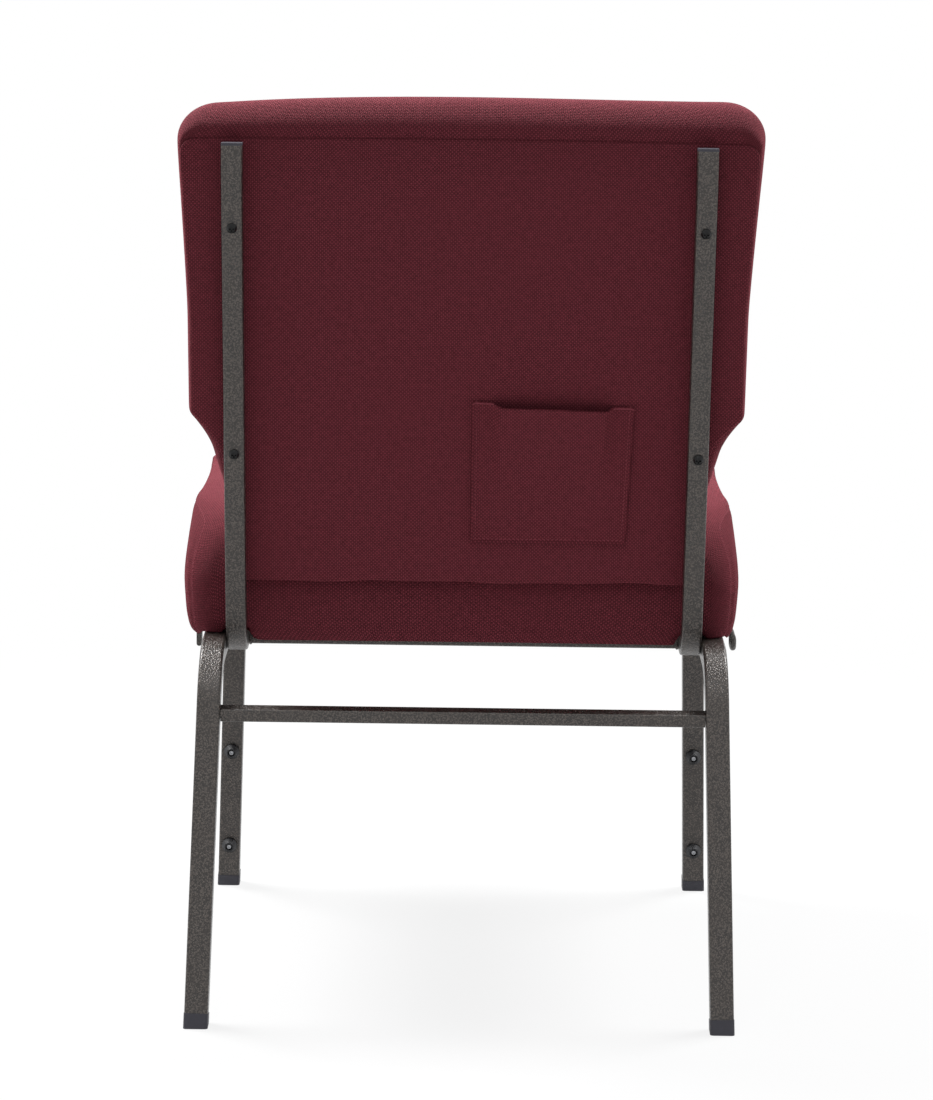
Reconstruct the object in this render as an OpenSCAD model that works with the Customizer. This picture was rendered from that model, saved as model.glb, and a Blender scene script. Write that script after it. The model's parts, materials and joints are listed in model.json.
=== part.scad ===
/* [Overall] */
// Depth from the front of the seat to the back of the rear feet
overall_depth = 602; // [580:1:640]
// Height of the top of the seat rails above the floor
rail_top_h = 344; // [325:1:365]

/* [Leg frames] */
// Side of the square tube of the leg frames
leg_tube = 22; // [20:0.5:25]
// Wall of the leg frame tube
leg_wall = 1.5; // [1.2:0.1:2]
// Outer corner radius of the leg frame tube
leg_corner_r = 2.6; // [2.2:0.1:3.4]
// Centre line radius of the leg frame bends
leg_bend_r = 50; // [42:1:60]
// Lean of the rear legs out to the rear, in degrees
rear_rake = 12; // [9:0.5:14]
// Lean of the front legs out to the front, in degrees
front_rake = 5; // [3:0.5:7]
// Lean of each leg frame out to its side, in degrees
leg_splay = 1.5; // [1:0.1:2]
// Distance between the centres of a front foot and a rear foot
foot_spread = 520; // [500:1:540]

/* [Seat rails and back uprights] */
// Side of the square tube that is seat rail and back upright
back_tube = 19; // [17:0.5:21]
// Wall of the back tube
back_wall = 1.5; // [1.2:0.1:2]
// Outer corner radius of the back tube
back_corner_r = 2.2; // [2:0.1:3]
// Distance between the centre lines of the two back tubes
tube_spacing = 428; // [416:1:440]
// Centre line radius of the bend from seat rail to upright
seat_bend_r = 40; // [34:1:46]
// Recline of the uprights, in degrees
recline = 12; // [9:0.5:14]
// Straight length of an upright between its two bends
upright_len = 410.8; // [390:0.1:430]
// Centre line radius of the forward bend at the top of an upright
top_bend_r = 200; // [170:5:240]
// Length of the forward bend along its centre line
top_bend_len = 45; // [35:1:50]
// How far the seat rail starts behind the front of the seat
rail_front_set = 62; // [50:1:80]
// How far the straight seat rail ends before the back of the rear feet
rail_rear_set = 168; // [160:1:176]

/* [Cross tubes] */
// Side of the square tube of the cross brace between the rear legs
brace_tube = 12.7; // [10:0.1:16]
// Wall of the cross brace
brace_wall = 1.2; // [1:0.1:1.5]
// Outer corner radius of the cross brace
brace_corner_r = 1.8; // [1.6:0.1:2.2]
// Height of the middle of the cross brace above the floor
brace_h = 283.3; // [265:0.1:295]
// Distance from the seat rail's front end to the front cross rail
front_cross_set = 36; // [25:1:60]
// Distance from the seat rail's rear bend to the rear cross rail
rear_cross_set = 34; // [20:1:60]

/* [Feet and plugs] */
// Height of the plastic foot cap below the tube, along the leg
cap_head = 12; // [9:0.5:14]
// How far the foot cap stands out from the tube on each side
cap_lip = 0.4; // [0.2:0.1:0.8]
// Depth of the ribbed stem of a foot cap inside its tube
cap_stem = 18; // [12:1:24]
// Thickness of the head of a tube end plug
plug_head = 2.4; // [1.6:0.2:3]
// Depth of a tube end plug inside its tube
plug_stem = 12; // [8:1:16]

/* [Stacking bumpers] */
// Diameter of a stacking bumper where it sits on the leg
bumper_d = 15.5; // [13:0.5:18]
// Diameter of the flat tip of a stacking bumper
bumper_tip_d = 9.5; // [8:0.5:11]
// Height of a stacking bumper
bumper_h = 8; // [6:0.5:10]
// Height of the lower bumpers above the floor
bumper_low_h = 45.5; // [38:0.5:60]
// Height of the upper bumpers above the floor
bumper_high_h = 148; // [130:0.5:160]
// Diameter of the hole through a bumper and its leg wall
bumper_hole_d = 4.4; // [4.2:0.1:4.6]

/* [Back] */
// Thickness of the back cushion with its board and rear panel
back_thick = 62; // [58:1:72]
// Thickness of the tail of the back cushion at its lower edge
tail_thick = 24; // [21:1:30]
// Half width of the back cushion at its upper corners
back_half_w = 266; // [258:1:274]
// Half width of the back cushion at its waist above the wings
waist_half_w = 258.5; // [252:0.5:262]
// Half width of the tail between the uprights
tail_half_w = 223; // [216:1:228]
// Radius of the upper corners of the back cushion
back_corner = 40; // [32:1:50]
// Height of the lower edge of the tail above the start of the upright
tail_low = 31.5; // [28:0.5:40]
// Height of the notch where the tail meets the wings
notch_low = 117; // [108:1:126]
// Height of the lower corner of the wings
wing_low = 196; // [188:1:208]
// Height of the upper seam of the rear panel
rear_seam_h = 459; // [452:1:466]
// Thickness of the back board
back_board_t = 10; // [8:1:12]
// Thickness of the upholstered rear panel
rear_panel_t = 2.6; // [2:0.2:3.4]
// Radius of the upper corners of the rear panel
panel_corner = 12; // [8:1:20]
// Width of the rolled side that shows beside the rear panel
side_roll = 5; // [3:0.5:8]

/* [Card pocket] */
// Width of the card pocket at its mouth
pocket_w = 149; // [120:1:160]
// Width of the card pocket at its lower edge
pocket_low_w = 143.5; // [115:0.5:155]
// Height of the card pocket
pocket_h = 140; // [110:1:150]
// How far the mouth of the pocket gapes in the middle
pocket_gape = 10.5; // [9:0.5:13]
// Distance of the pocket's inner edge from the middle of the chair
pocket_set = 5.5; // [0:0.5:20]
// Height of the pocket's lower edge above the start of the upright
pocket_low = 72; // [62:1:90]

/* [Seat] */
// Half width of the seat cushion at its fullest
seat_half_w = 262; // [256:1:268]
// How far the seat cushion ends before the back of the rear feet
seat_rear_set = 147; // [145:1:152]
// Height of the seat crown above the top of the seat rails
seat_thick = 126; // [116:1:132]
// How far the seat cushion is drawn in along its lower edge
seat_draw_in = 15; // [10:1:20]
// How far the sides of a cushion pull in between its corners
side_pull = 3; // [1:0.5:6]
// Thickness of the plywood seat board
seat_board_t = 12; // [10:1:15]
// Thickness of the cloth of the covers
cloth_t = 1.4; // [1:0.1:2]

/* [Fasteners] */
// Diameter of the shank of the screws in the back and the seat
screw_d = 6; // [5:0.5:6]
// Diameter of the head of those screws
screw_head_d = 9.6; // [9:0.2:11]
// Height of the head of those screws
screw_head_h = 3.2; // [2.6:0.2:4]
// Height of the lower back screws above the start of the upright
screw_low = 164; // [140:1:170]
// Distance between the lower and the upper back screws
screw_gap = 218; // [190:1:230]
// Distance between the front and the rear seat screws
seat_screw_gap = 270; // [230:1:300]

/* [Ganging parts] */
// Thickness of the ganging hook strip
hook_t = 5; // [4:0.5:6]
// Width of the ganging hook strip
hook_w = 13; // [10:1:16]
// Clear gap between the hook finger and the leg frame
hook_gap = 6.5; // [6.5:0.5:8]
// Height of the ganging hook
hook_h = 28; // [24:1:30]
// Diameter of the rod of the ganging loop
loop_rod_d = 6; // [5:0.5:6.5]
// Clear width inside the ganging loop
loop_gap = 16; // [16:1:20]
// Clear gap between the ganging loop and the leg frame
loop_stand = 10; // [8:0.5:11]
// Height of the ganging loop
loop_h = 26; // [26:1:32]
// How far the ganging parts sit ahead of the rear bend of the leg frame
gang_set = 106; // [60:1:140]

/* [Hidden] */
$fn = 64;
overrun = 2;
weld_gap = 0.1;
lap = 0.5;
joint_step = 0.02;
seat_gap = 0.2;
cloth_gap = 0.3;
hem = 22;
hole_gap = 0.3;
thread_gap = 0.08;
rib_gap = 0.15;
floor_reach = 3000;

// The recess of a cross head and the washer face of the screws
recess_w_share = 0.5;
recess_t_share = 0.16;
recess_h_share = 0.6;
dome_share = 0.35;

// Tee nuts
tee_flange_d = 19;
tee_flange_t = 1.4;
tee_barrel_d = 8;

// Small screws in the bumpers
bumper_screw_d = 4;
bumper_screw_len = 14;
bumper_screw_head_d = 6.4;
bumper_screw_head_h = 2;
bumper_recess_d = 7;
bumper_recess_h = 3;

// Ribs of the foot cap stems and tube plugs
rib_count = 4;
rib_t = 1.2;
stem_wall_share = 0.8;

// Places along the chair, with the front of the seat at the most negative Y
y_front = -overall_depth / 2;
y_rear = overall_depth / 2;
leg_cap_w = leg_tube + 2 * cap_lip;
foot_rear_y = y_rear - leg_cap_w / 2 / cos(rear_rake);
foot_front_y = foot_rear_y - foot_spread;
rail_rear_y = y_rear - rail_rear_set;
rail_front_y = y_front + rail_front_set;
rail_mid_h = rail_top_h - back_tube / 2;
tube_x = tube_spacing / 2;
leg_plane_x = tube_x + back_tube / 2 + weld_gap;

// The leg frame lies in a plane that leans out, so its drop is a little longer
frame_top_h = rail_top_h - leg_tube * sin(leg_splay);
frame_drop = (frame_top_h + leg_tube / 2 * sin(leg_splay)) / cos(leg_splay) - leg_tube / 2;
rear_turn = 90 - rear_rake;
front_turn = 90 - front_rake;
rear_run = frame_drop - leg_bend_r * (1 - cos(rear_turn));
front_run = frame_drop - leg_bend_r * (1 - cos(front_turn));
rear_tangent_y = foot_rear_y - rear_run * tan(rear_rake) - leg_bend_r * sin(rear_turn);
front_tangent_y = foot_front_y + front_run * tan(front_rake) + leg_bend_r * sin(front_turn);
rear_leg_len = rear_run / cos(rear_rake) - cap_head;
front_leg_len = front_run / cos(front_rake) - cap_head;

// Start of the upright's front face, which is the datum of everything on the back
upright_start_y = rail_rear_y + seat_bend_r * cos(recline) - back_tube / 2 * cos(recline);
upright_start_h = rail_mid_h + seat_bend_r - seat_bend_r * sin(recline) + back_tube / 2 * sin(recline);
top_face_r = top_bend_r - back_tube / 2;
top_bend_angle = top_bend_len / top_bend_r * 180 / PI;

// Seat cushion levels
dust_t = 0.8;
seat_low_h = rail_top_h + seat_gap;
board_low_h = seat_low_h + cloth_t + cloth_gap;
board_top_h = board_low_h + seat_board_t;
seat_rear_y = y_rear - seat_rear_set;
seat_mid_y = (y_front + seat_rear_y) / 2;
seat_half_d = (seat_rear_y - y_front) / 2;
seat_corner_r = 26;
board_edge = 3;

// Small shapes of the back's outline and edge roll
notch_foot = 2;
notch_shares = [[0, 0], [0.27, 0.36], [0.42, 0.58], [0.67, 0.79]];
wing_corner = 10;
wing_turn = 45;
tail_corner = 14;
top_crown = 6;
seam_crown = 2;
waist_share = 0.42;
flare_shares = [0.3, 0.6];
third_shares = [0, 1 / 3, 2 / 3];
board_inset = 12;
tail_blend = 120;
front_bevel = 30;
top_roll = 43;
pocket_sag = 2.5;

// How quickly the cushion thickens above its tail, and the pocket gapes and sags
swell_share = 0.7;
gape_share = 1.3;
sag_share = 0.8;

frame_colour = [0.30, 0.27, 0.25];
plastic_colour = [0.10, 0.10, 0.13];
rubber_colour = [0.07, 0.07, 0.08];
cloth_colour = [0.38, 0.10, 0.15];
foam_colour = [0.90, 0.86, 0.72];
wood_colour = [0.74, 0.58, 0.38];
steel_colour = [0.62, 0.62, 0.64];
dust_colour = [0.12, 0.12, 0.12];

// Square with round corners, centred, made of plain squares and circles
module round_square(w, d, r) {
    square([w - 2 * r, d], center = true);
    square([w, d - 2 * r], center = true);
    for (x = [-1, 1], y = [-1, 1])
        translate([x * (w / 2 - r), y * (d / 2 - r)]) circle(r = r);
}

// Section of a square tube, a hair thinner on both faces by the step
module tube_section(side, wall, r, step = 0) {
    difference() {
        round_square(side - 2 * step, side - 2 * step, r - step);
        round_square(side - 2 * (wall - step), side - 2 * (wall - step), r - wall + step);
    }
}

// Straight tube along +Z from the origin
module tube_run(side, wall, r, len) {
    linear_extrude(height = len) tube_section(side, wall, r);
}

// Straight part of a bent tube, which laps into the bend before it and the bend after it
module bent_tube_run(side, wall, r, len, before, after) {
    translate([0, 0, -before]) linear_extrude(height = before + len + after)
        tube_section(side, wall, r, joint_step);
}

// Tube bend that starts at the origin along +Z and turns towards -Y
module tube_bend(side, wall, r, bend_r, angle) {
    translate([0, -bend_r, 0]) rotate([0, 0, 90]) rotate([90, 0, 0])
        rotate_extrude(angle = angle) translate([bend_r, 0]) tube_section(side, wall, r);
}

// Moves what follows to the end of such a bend
module after_bend(bend_r, angle) {
    translate([0, -bend_r * (1 - cos(angle)), bend_r * sin(angle)]) rotate([angle, 0, 0]) children();
}

// Mirrors what follows for the right-hand side of the chair
module sided(side) {
    if (side < 0) mirror([1, 0, 0]) children();
    else children();
}

// Places the plane of a leg frame: its top inner edge lies along the seat rail
module leg_plane(side) {
    sided(side) translate([leg_plane_x, 0, frame_top_h]) rotate([0, -leg_splay, 0])
        translate([leg_tube / 2, 0, -leg_tube / 2]) children();
}

// Places the end of a leg where its tube stops: +Z runs down the leg
module leg_end(side, rear) {
    leg_plane(side)
        if (rear)
            translate([0, rear_tangent_y, 0]) rotate([-90, 180, 0]) after_bend(leg_bend_r, rear_turn)
                translate([0, 0, rear_leg_len]) children();
        else
            translate([0, front_tangent_y, 0]) rotate([-90, 180, 180]) after_bend(leg_bend_r, front_turn)
                translate([0, 0, front_leg_len]) children();
}

// One leg of a frame, from the end of the top rail round its bend and down
module bent_leg(turn, len) {
    tube_bend(leg_tube, leg_wall, leg_corner_r, leg_bend_r, turn);
    after_bend(leg_bend_r, turn) bent_tube_run(leg_tube, leg_wall, leg_corner_r, len, lap, 0);
}

module leg_frame(side) {
    color(frame_colour) difference() {
        leg_plane(side) {
            translate([0, front_tangent_y, 0]) rotate([-90, 0, 0])
                bent_tube_run(leg_tube, leg_wall, leg_corner_r, rear_tangent_y - front_tangent_y, lap, lap);
            translate([0, rear_tangent_y, 0]) rotate([-90, 180, 0]) bent_leg(rear_turn, rear_leg_len);
            translate([0, front_tangent_y, 0]) rotate([-90, 180, 180]) bent_leg(front_turn, front_leg_len);
        }
        for (h = [bumper_low_h, bumper_high_h])
            bumper_place(side, h) translate([0, 0, -leg_wall - overrun])
                cylinder(d = bumper_hole_d, h = leg_wall + 2 * overrun);
    }
}

// Places a bumper: origin on the rear face of a front leg, +Z out of the face
module bumper_place(side, h) {
    up = (h / cos(leg_splay)) / cos(front_rake) - cap_head;
    leg_end(side, false) translate([0, 0, -up]) translate([0, -leg_tube / 2, 0]) rotate([90, 0, 0]) children();
}

module back_tube(side) {
    color(frame_colour) difference() {
        translate([side * tube_x, 0, 0]) {
            translate([0, rail_front_y, rail_mid_h]) rotate([-90, 0, 0])
                bent_tube_run(back_tube, back_wall, back_corner_r, rail_rear_y - rail_front_y, 0, lap);
            translate([0, rail_rear_y, rail_mid_h]) rotate([-90, 0, 0]) {
                tube_bend(back_tube, back_wall, back_corner_r, seat_bend_r, 90 - recline);
                after_bend(seat_bend_r, 90 - recline) {
                    bent_tube_run(back_tube, back_wall, back_corner_r, upright_len, lap, lap);
                    translate([0, 0, upright_len])
                        tube_bend(back_tube, back_wall, back_corner_r, top_bend_r, top_bend_angle);
                }
            }
        }
        for (h = [screw_low, screw_low + screw_gap])
            on_back() translate([side * tube_x, back_tube + overrun, h]) rotate([90, 0, 0])
                cylinder(d = screw_d + 2 * hole_gap, h = back_tube + 2 * overrun);
        for (y = seat_screw_ys)
            translate([side * tube_x, y, rail_top_h - back_tube - overrun])
                cylinder(d = screw_d + 2 * hole_gap, h = back_tube + 2 * overrun);
    }
}

// Datum of the back: X across, +Z up the upright, Y zero on the upright's front face
module on_back() {
    translate([0, upright_start_y, upright_start_h]) rotate([-recline, 0, 0]) children();
}

seat_screw_front_y = rail_front_y + front_cross_set * 2;
seat_screw_ys = [seat_screw_front_y, seat_screw_front_y + seat_screw_gap];

// The brace runs between the inner faces of the rear legs, on their centre lines
module rear_cross_brace() {
    half = leg_plane_x + (frame_top_h - brace_h - brace_tube / 2) * tan(leg_splay) - weld_gap;
    y = foot_rear_y - brace_h / cos(leg_splay) * tan(rear_rake);
    color(frame_colour) translate([-half, y, brace_h]) rotate([-rear_rake, 0, 0]) rotate([0, 90, 0])
        tube_run(brace_tube, brace_wall, brace_corner_r, 2 * half);
}

module cross_rail(y) {
    half = tube_x - back_tube / 2 - weld_gap;
    color(frame_colour) translate([-half, y, rail_mid_h]) rotate([0, 90, 0])
        tube_run(back_tube, back_wall, back_corner_r, 2 * half);
}

// Ribbed stem of a plug that fits inside a square tube, along -Z from the origin
module ribbed_stem(bore, len) {
    core = bore * stem_wall_share;
    translate([0, 0, -len]) linear_extrude(height = len) {
        difference() {
            round_square(core, core, rib_t);
            round_square(core - 2 * rib_t, core - 2 * rib_t, rib_t / 2);
        }
        for (i = [1:rib_count]) {
            at = (i / (rib_count + 1) - 1 / 2) * core;
            for (a = [0, 90, 180, 270])
                rotate([0, 0, a]) translate([at - rib_t / 2, core / 2])
                    square([rib_t, (bore - core) / 2 - rib_gap]);
        }
    }
}

module foot_cap(side, rear) {
    color(plastic_colour) intersection() {
        leg_end(side, rear) {
            linear_extrude(height = 2 * cap_head) round_square(leg_cap_w, leg_cap_w, leg_corner_r + cap_lip);
            ribbed_stem(leg_tube - 2 * leg_wall, cap_stem);
        }
        translate([-floor_reach / 2, -floor_reach / 2, 0]) cube(floor_reach);
    }
}

module tube_plug() {
    linear_extrude(height = plug_head) round_square(back_tube, back_tube, back_corner_r);
    ribbed_stem(back_tube - 2 * back_wall, plug_stem);
}

module upright_plug(side) {
    color(plastic_colour) on_back() translate([side * tube_x, back_tube / 2, upright_len])
        after_bend(top_bend_r, top_bend_angle) tube_plug();
}

module rail_plug(side) {
    color(plastic_colour) translate([side * tube_x, rail_front_y, rail_mid_h]) rotate([90, 0, 0]) tube_plug();
}

module bumper(side, h) {
    color(rubber_colour) bumper_place(side, h) difference() {
        union() {
            cylinder(d = bumper_d, h = bumper_h * dome_share);
            translate([0, 0, bumper_h * dome_share])
                cylinder(d1 = bumper_d, d2 = bumper_tip_d, h = bumper_h * (1 - dome_share));
        }
        translate([0, 0, -overrun]) cylinder(d = bumper_hole_d, h = bumper_h + 2 * overrun);
        translate([0, 0, bumper_h - bumper_recess_h]) cylinder(d = bumper_recess_d, h = bumper_recess_h + overrun);
    }
}

// Screw along -Z with its head above the origin
module screw(d, len, head_d, head_h) {
    difference() {
        union() {
            translate([0, 0, -len]) cylinder(d = d, h = len);
            cylinder(d = head_d, h = head_h * dome_share);
            translate([0, 0, head_h * dome_share])
                cylinder(d1 = head_d, d2 = head_d * (1 - dome_share), h = head_h * (1 - dome_share));
        }
        for (a = [0, 90]) rotate([0, 0, a])
            translate([0, 0, head_h * (1 - recess_h_share / 2) + overrun / 2])
                cube([head_d * recess_w_share, head_d * recess_t_share, head_h * recess_h_share + overrun],
                    center = true);
    }
}

module bumper_screws() {
    color(steel_colour) for (side = [-1, 1], h = [bumper_low_h, bumper_high_h])
        bumper_place(side, h) translate([0, 0, bumper_h - bumper_recess_h])
            screw(bumper_screw_d, bumper_screw_len, bumper_screw_head_d, bumper_screw_head_h);
}

// Places each back screw: +Z out to the rear
module back_screw_places() {
    for (side = [-1, 1], h = [screw_low, screw_low + screw_gap])
        on_back() translate([side * tube_x, 0, h]) rotate([-90, 0, 0]) children();
}

back_stack = seat_gap + rear_panel_t + seat_gap + back_board_t;
back_screw_len = back_tube + back_stack;

module back_screws() {
    color(rubber_colour) back_screw_places() translate([0, 0, back_tube])
        screw(screw_d, back_screw_len, screw_head_d, screw_head_h);
}

// Tee nut: the flange's seat at the origin, barrel along +Z
module tee_nut(barrel) {
    difference() {
        union() {
            translate([0, 0, -tee_flange_t]) cylinder(d = tee_flange_d, h = tee_flange_t);
            cylinder(d = tee_barrel_d, h = barrel);
        }
        translate([0, 0, -tee_flange_t - overrun])
            cylinder(d = screw_d + 2 * thread_gap, h = barrel + tee_flange_t + 2 * overrun);
    }
}

module back_tee_nuts() {
    color(steel_colour) back_screw_places() translate([0, 0, -back_stack])
        tee_nut(back_board_t * stem_wall_share);
}

// Side view of a layer of the back: from depth n0 to n1 forward of the uprights, from s0 to s1 up
module back_strip(n0, n1, s0, s1) {
    translate([-n1, s0]) square([n1 - n0, upright_len - s0]);
    a = (s1 - upright_len) / top_face_r * 180 / PI;
    translate([-top_face_r, upright_len]) intersection() {
        difference() {
            circle(r = top_face_r - n0, $fn = 180);
            circle(r = top_face_r - n1, $fn = 180);
        }
        polygon([[0, 0], [2 * top_face_r, 0], [2 * top_face_r * cos(a), 2 * top_face_r * sin(a)]]);
    }
}

module back_layer(n0, n1, s0, s1) {
    translate([-back_half_w, 0, 0]) rotate([90, 0, 90])
        linear_extrude(height = 2 * back_half_w) back_strip(n0, n1, s0, s1);
}

function arc(cx, cy, rx, ry, a0, a1, n) =
    [for (i = [0:n]) let(a = a0 + (a1 - a0) * i / n) [cx + rx * cos(a), cy + ry * sin(a)]];

// Half of the back's outline, from the middle of the tail up the right side to the middle of the top.
// The inset draws every edge in, top is the height of the upper edge, c the radius of the upper
// corner, and crown the rise of the upper edge towards the middle.
function back_half(inset, top, c, crown) =
    let(
        w_top = back_half_w - inset,
        w_mid = waist_half_w - inset,
        w_tail = tail_half_w - inset,
        s0 = tail_low + inset,
        w_tip = w_mid - wing_corner * (1 - cos(wing_turn)),
        s_tip = wing_low + inset - wing_corner * sin(wing_turn)
    )
    concat(
        [for (t = third_shares) [w_tail * t, s0]],
        arc(w_tail - tail_corner, s0 + tail_corner, tail_corner, tail_corner, -90, 0, 2),
        [[w_tail, (s0 + notch_low) / 2]],
        [for (q = notch_shares) [mix(w_tail + notch_foot, w_tip, q[0]), mix(notch_low, s_tip, q[1])]],
        arc(w_mid - wing_corner, wing_low + inset, wing_corner, wing_corner, -wing_turn, 0, 3),
        [[w_mid, mix(wing_low, top, waist_share / 2)], [w_mid, mix(wing_low, top, waist_share)],
            [mix(w_mid, w_top, flare_shares[0]), mix(wing_low, top, flare_shares[1])]],
        arc(w_top - c, top - c, c, c, 0, 90, 5),
        [for (t = third_shares) if (t > 0) [(w_top - c) * (1 - t), top + crown * t]],
        [[0, top + crown]]
    );

function mirrored(h) = concat(h, [for (i = [len(h) - 2:-1:1]) [-h[i][0], h[i][1]]]);

// Outline of the flat layers, which share the square upper corners of the rear panel
module back_outline(inset, top) {
    polygon(mirrored(back_half(inset, top, panel_corner, seam_crown)));
}

module back_board() {
    n0 = seat_gap + rear_panel_t + seat_gap;
    color(wood_colour) on_back() difference() {
        intersection() {
            back_layer(n0, n0 + back_board_t, tail_low, rear_seam_h);
            translate([0, back_thick, 0]) rotate([90, 0, 0])
                linear_extrude(height = 3 * back_thick) back_outline(board_inset, rear_seam_h - board_inset / 2);
        }
        for (side = [-1, 1], h = [screw_low, screw_low + screw_gap])
            translate([side * tube_x, overrun, h]) rotate([90, 0, 0])
                cylinder(d = tee_barrel_d + 2 * thread_gap, h = back_thick);
    }
}

module back_rear_panel() {
    color(cloth_colour) on_back() difference() {
        intersection() {
            back_layer(seat_gap, seat_gap + rear_panel_t, tail_low, rear_seam_h + side_roll);
            translate([0, back_thick, 0]) rotate([90, 0, 0])
                linear_extrude(height = 3 * back_thick) back_outline(side_roll, rear_seam_h);
        }
        for (side = [-1, 1], h = [screw_low, screw_low + screw_gap])
            translate([side * tube_x, overrun, h]) rotate([90, 0, 0])
                cylinder(d = screw_d + 2 * hole_gap, h = rear_panel_t + 2 * overrun);
    }
}

// A point of the back: x across, s up the upright's front face, n forward of it
function back_pt(p, n) =
    let(a = (p[1] - upright_len) / top_face_r * 180 / PI)
    p[1] <= upright_len
        ? [p[0], -n, p[1]]
        : [p[0], -top_face_r + (top_face_r - n) * cos(a), upright_len + (top_face_r - n) * sin(a)];

function smooth(t) = let(u = min(max(t, 0), 1)) u * u * (3 - 2 * u);
function mix(a, b, t) = a + (b - a) * t;

// Thickness of the cushion at a height up the back
function thick_at(s) = mix(tail_thick, back_thick, pow(smooth((s - tail_low) / tail_blend), swell_share));

// Rings of the back cushion from the rear seam to the front: share of the roll, share of the front
// bevel, share of the thickness
roll_shares = [[0, 0, 0], [0.42, 0, 0.05], [0.77, 0, 0.18], [0.95, 0, 0.34], [1, 0, 0.5],
    [1, 0.07, 0.67], [1, 0.24, 0.82], [1, 0.52, 0.94], [1, 1, 1]];
crown_shares = [[0.84, 0.02], [0.6, 0.05], [0.3, 0.07]];

function back_rings(skin, rear_n) =
    let(
        seam = mirrored(back_half(side_roll + skin, rear_seam_h - skin, panel_corner, seam_crown)),
        full = mirrored(back_half(skin, rear_seam_h + top_roll - skin, back_corner, top_crown)),
        face = mirrored(back_half(front_bevel, rear_seam_h - skin, back_corner - front_bevel / 2, top_crown)),
        mid = [0, (tail_low + rear_seam_h) / 2]
    )
    concat(
        [for (r = roll_shares) [for (i = [0:len(seam) - 1])
            let(p = mix(mix(seam[i], full[i], r[0]), face[i], r[1]), t = thick_at(p[1]) - skin)
            back_pt(p, mix(rear_n, t, r[2]))]],
        [for (c = crown_shares) [for (i = [0:len(face) - 1])
            let(p = mix(mid, face[i], c[0]), t = thick_at(p[1]) - skin)
            back_pt(p, t * (1 + c[1]))]]
    );

// Closed solid over rings of points, capped flat at both ends
module ring_solid(rings) {
    n = len(rings[0]);
    m = len(rings);
    pts = [for (r = rings) for (p = r) p];
    side = [for (j = [0:m - 2], i = [0:n - 1]) let(k = (i + 1) % n)
        each [[j * n + i, (j + 1) * n + k, j * n + k], [j * n + i, (j + 1) * n + i, (j + 1) * n + k]]];
    mid0 = [for (a = [0:2]) sum_of([for (p = rings[0]) p[a]]) / n];
    mid1 = [for (a = [0:2]) sum_of([for (p = rings[m - 1]) p[a]]) / n];
    low = [for (i = [0:n - 1]) [m * n, i, (i + 1) % n]];
    high = [for (i = [0:n - 1]) [m * n + 1, (m - 1) * n + (i + 1) % n, (m - 1) * n + i]];
    polyhedron(points = concat(pts, [mid0, mid1]), faces = concat(side, low, high), convexity = 6);
}

function sum_of(v) = [for (i = 0, s = 0; i <= len(v); s = s + (i < len(v) ? v[i] : 0), i = i + 1) s][len(v)];

back_foam_n = seat_gap + rear_panel_t + seat_gap + back_board_t + cloth_gap;

module back_foam() {
    color(foam_colour) on_back() difference() {
        ring_solid(back_rings(cloth_t + 2 * cloth_gap, rear_panel_t + cloth_gap * 2));
        intersection() {
            back_layer(0, back_foam_n, tail_low - overrun, rear_seam_h + cloth_gap);
            translate([0, back_thick, 0]) rotate([90, 0, 0])
                linear_extrude(height = 3 * back_thick)
                    back_outline(board_inset - cloth_gap, rear_seam_h - board_inset / 2 + cloth_gap);
        }
        for (side = [-1, 1], h = [screw_low, screw_low + screw_gap])
            translate([side * tube_x, 0, h]) rotate([90, 0, 0])
                cylinder(d = tee_flange_d + 2 * cloth_gap, h = back_foam_n + tee_flange_t + cloth_gap);
    }
}

module back_cover() {
    color(cloth_colour) on_back() difference() {
        ring_solid(back_rings(0, rear_panel_t + cloth_gap));
        ring_solid(back_rings(cloth_t, -overrun));
    }
}

// Sheet of the pocket: u across from its inner edge, v up from its lower edge
pocket_u_shares = [0, 0.04, 0.14, 0.28, 0.42, 0.58, 0.72, 0.86, 0.96, 1];
pocket_v_shares = [0, 0.04, 0.25, 0.5, 0.72, 0.9, 1];
function pocket_pt(u, v, lift) =
    let(
        w = mix(pocket_low_w, pocket_w, v),
        droop = pow(sin(180 * u), sag_share)
    )
    [-pocket_set - w * u, pocket_gape * pow(v, gape_share) * droop + lift, pocket_low + (pocket_h - pocket_sag * droop) * v];

module card_pocket() {
    nu = len(pocket_u_shares);
    nv = len(pocket_v_shares);
    pts = [for (k = [0, 1], v = pocket_v_shares, u = pocket_u_shares) pocket_pt(u, v, k * cloth_t)];
    function at(k, j, i) = k * nu * nv + j * nu + i;
    sheets = [for (k = [0, 1], j = [0:nv - 2], i = [0:nu - 2])
        let(a = at(k, j, i), b = at(k, j, i + 1), c = at(k, j + 1, i + 1), d = at(k, j + 1, i))
        each (k == 0 ? [[a, b, c], [a, c, d]] : [[a, c, b], [a, d, c]])];
    rim = concat(
        [for (i = [0:nu - 2]) [at(0, 0, i), at(0, 0, i + 1), at(1, 0, i + 1), at(1, 0, i)]],
        [for (i = [0:nu - 2]) [at(0, nv - 1, i + 1), at(0, nv - 1, i), at(1, nv - 1, i), at(1, nv - 1, i + 1)]],
        [for (j = [0:nv - 2]) [at(0, j + 1, 0), at(0, j, 0), at(1, j, 0), at(1, j + 1, 0)]],
        [for (j = [0:nv - 2]) [at(0, j, nu - 1), at(0, j + 1, nu - 1), at(1, j + 1, nu - 1), at(1, j, nu - 1)]]
    );
    edges = [for (f = rim) each [[f[0], f[2], f[1]], [f[0], f[3], f[2]]]];
    color(cloth_colour) on_back() polyhedron(points = pts, faces = concat(sheets, edges), convexity = 4);
}

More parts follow.
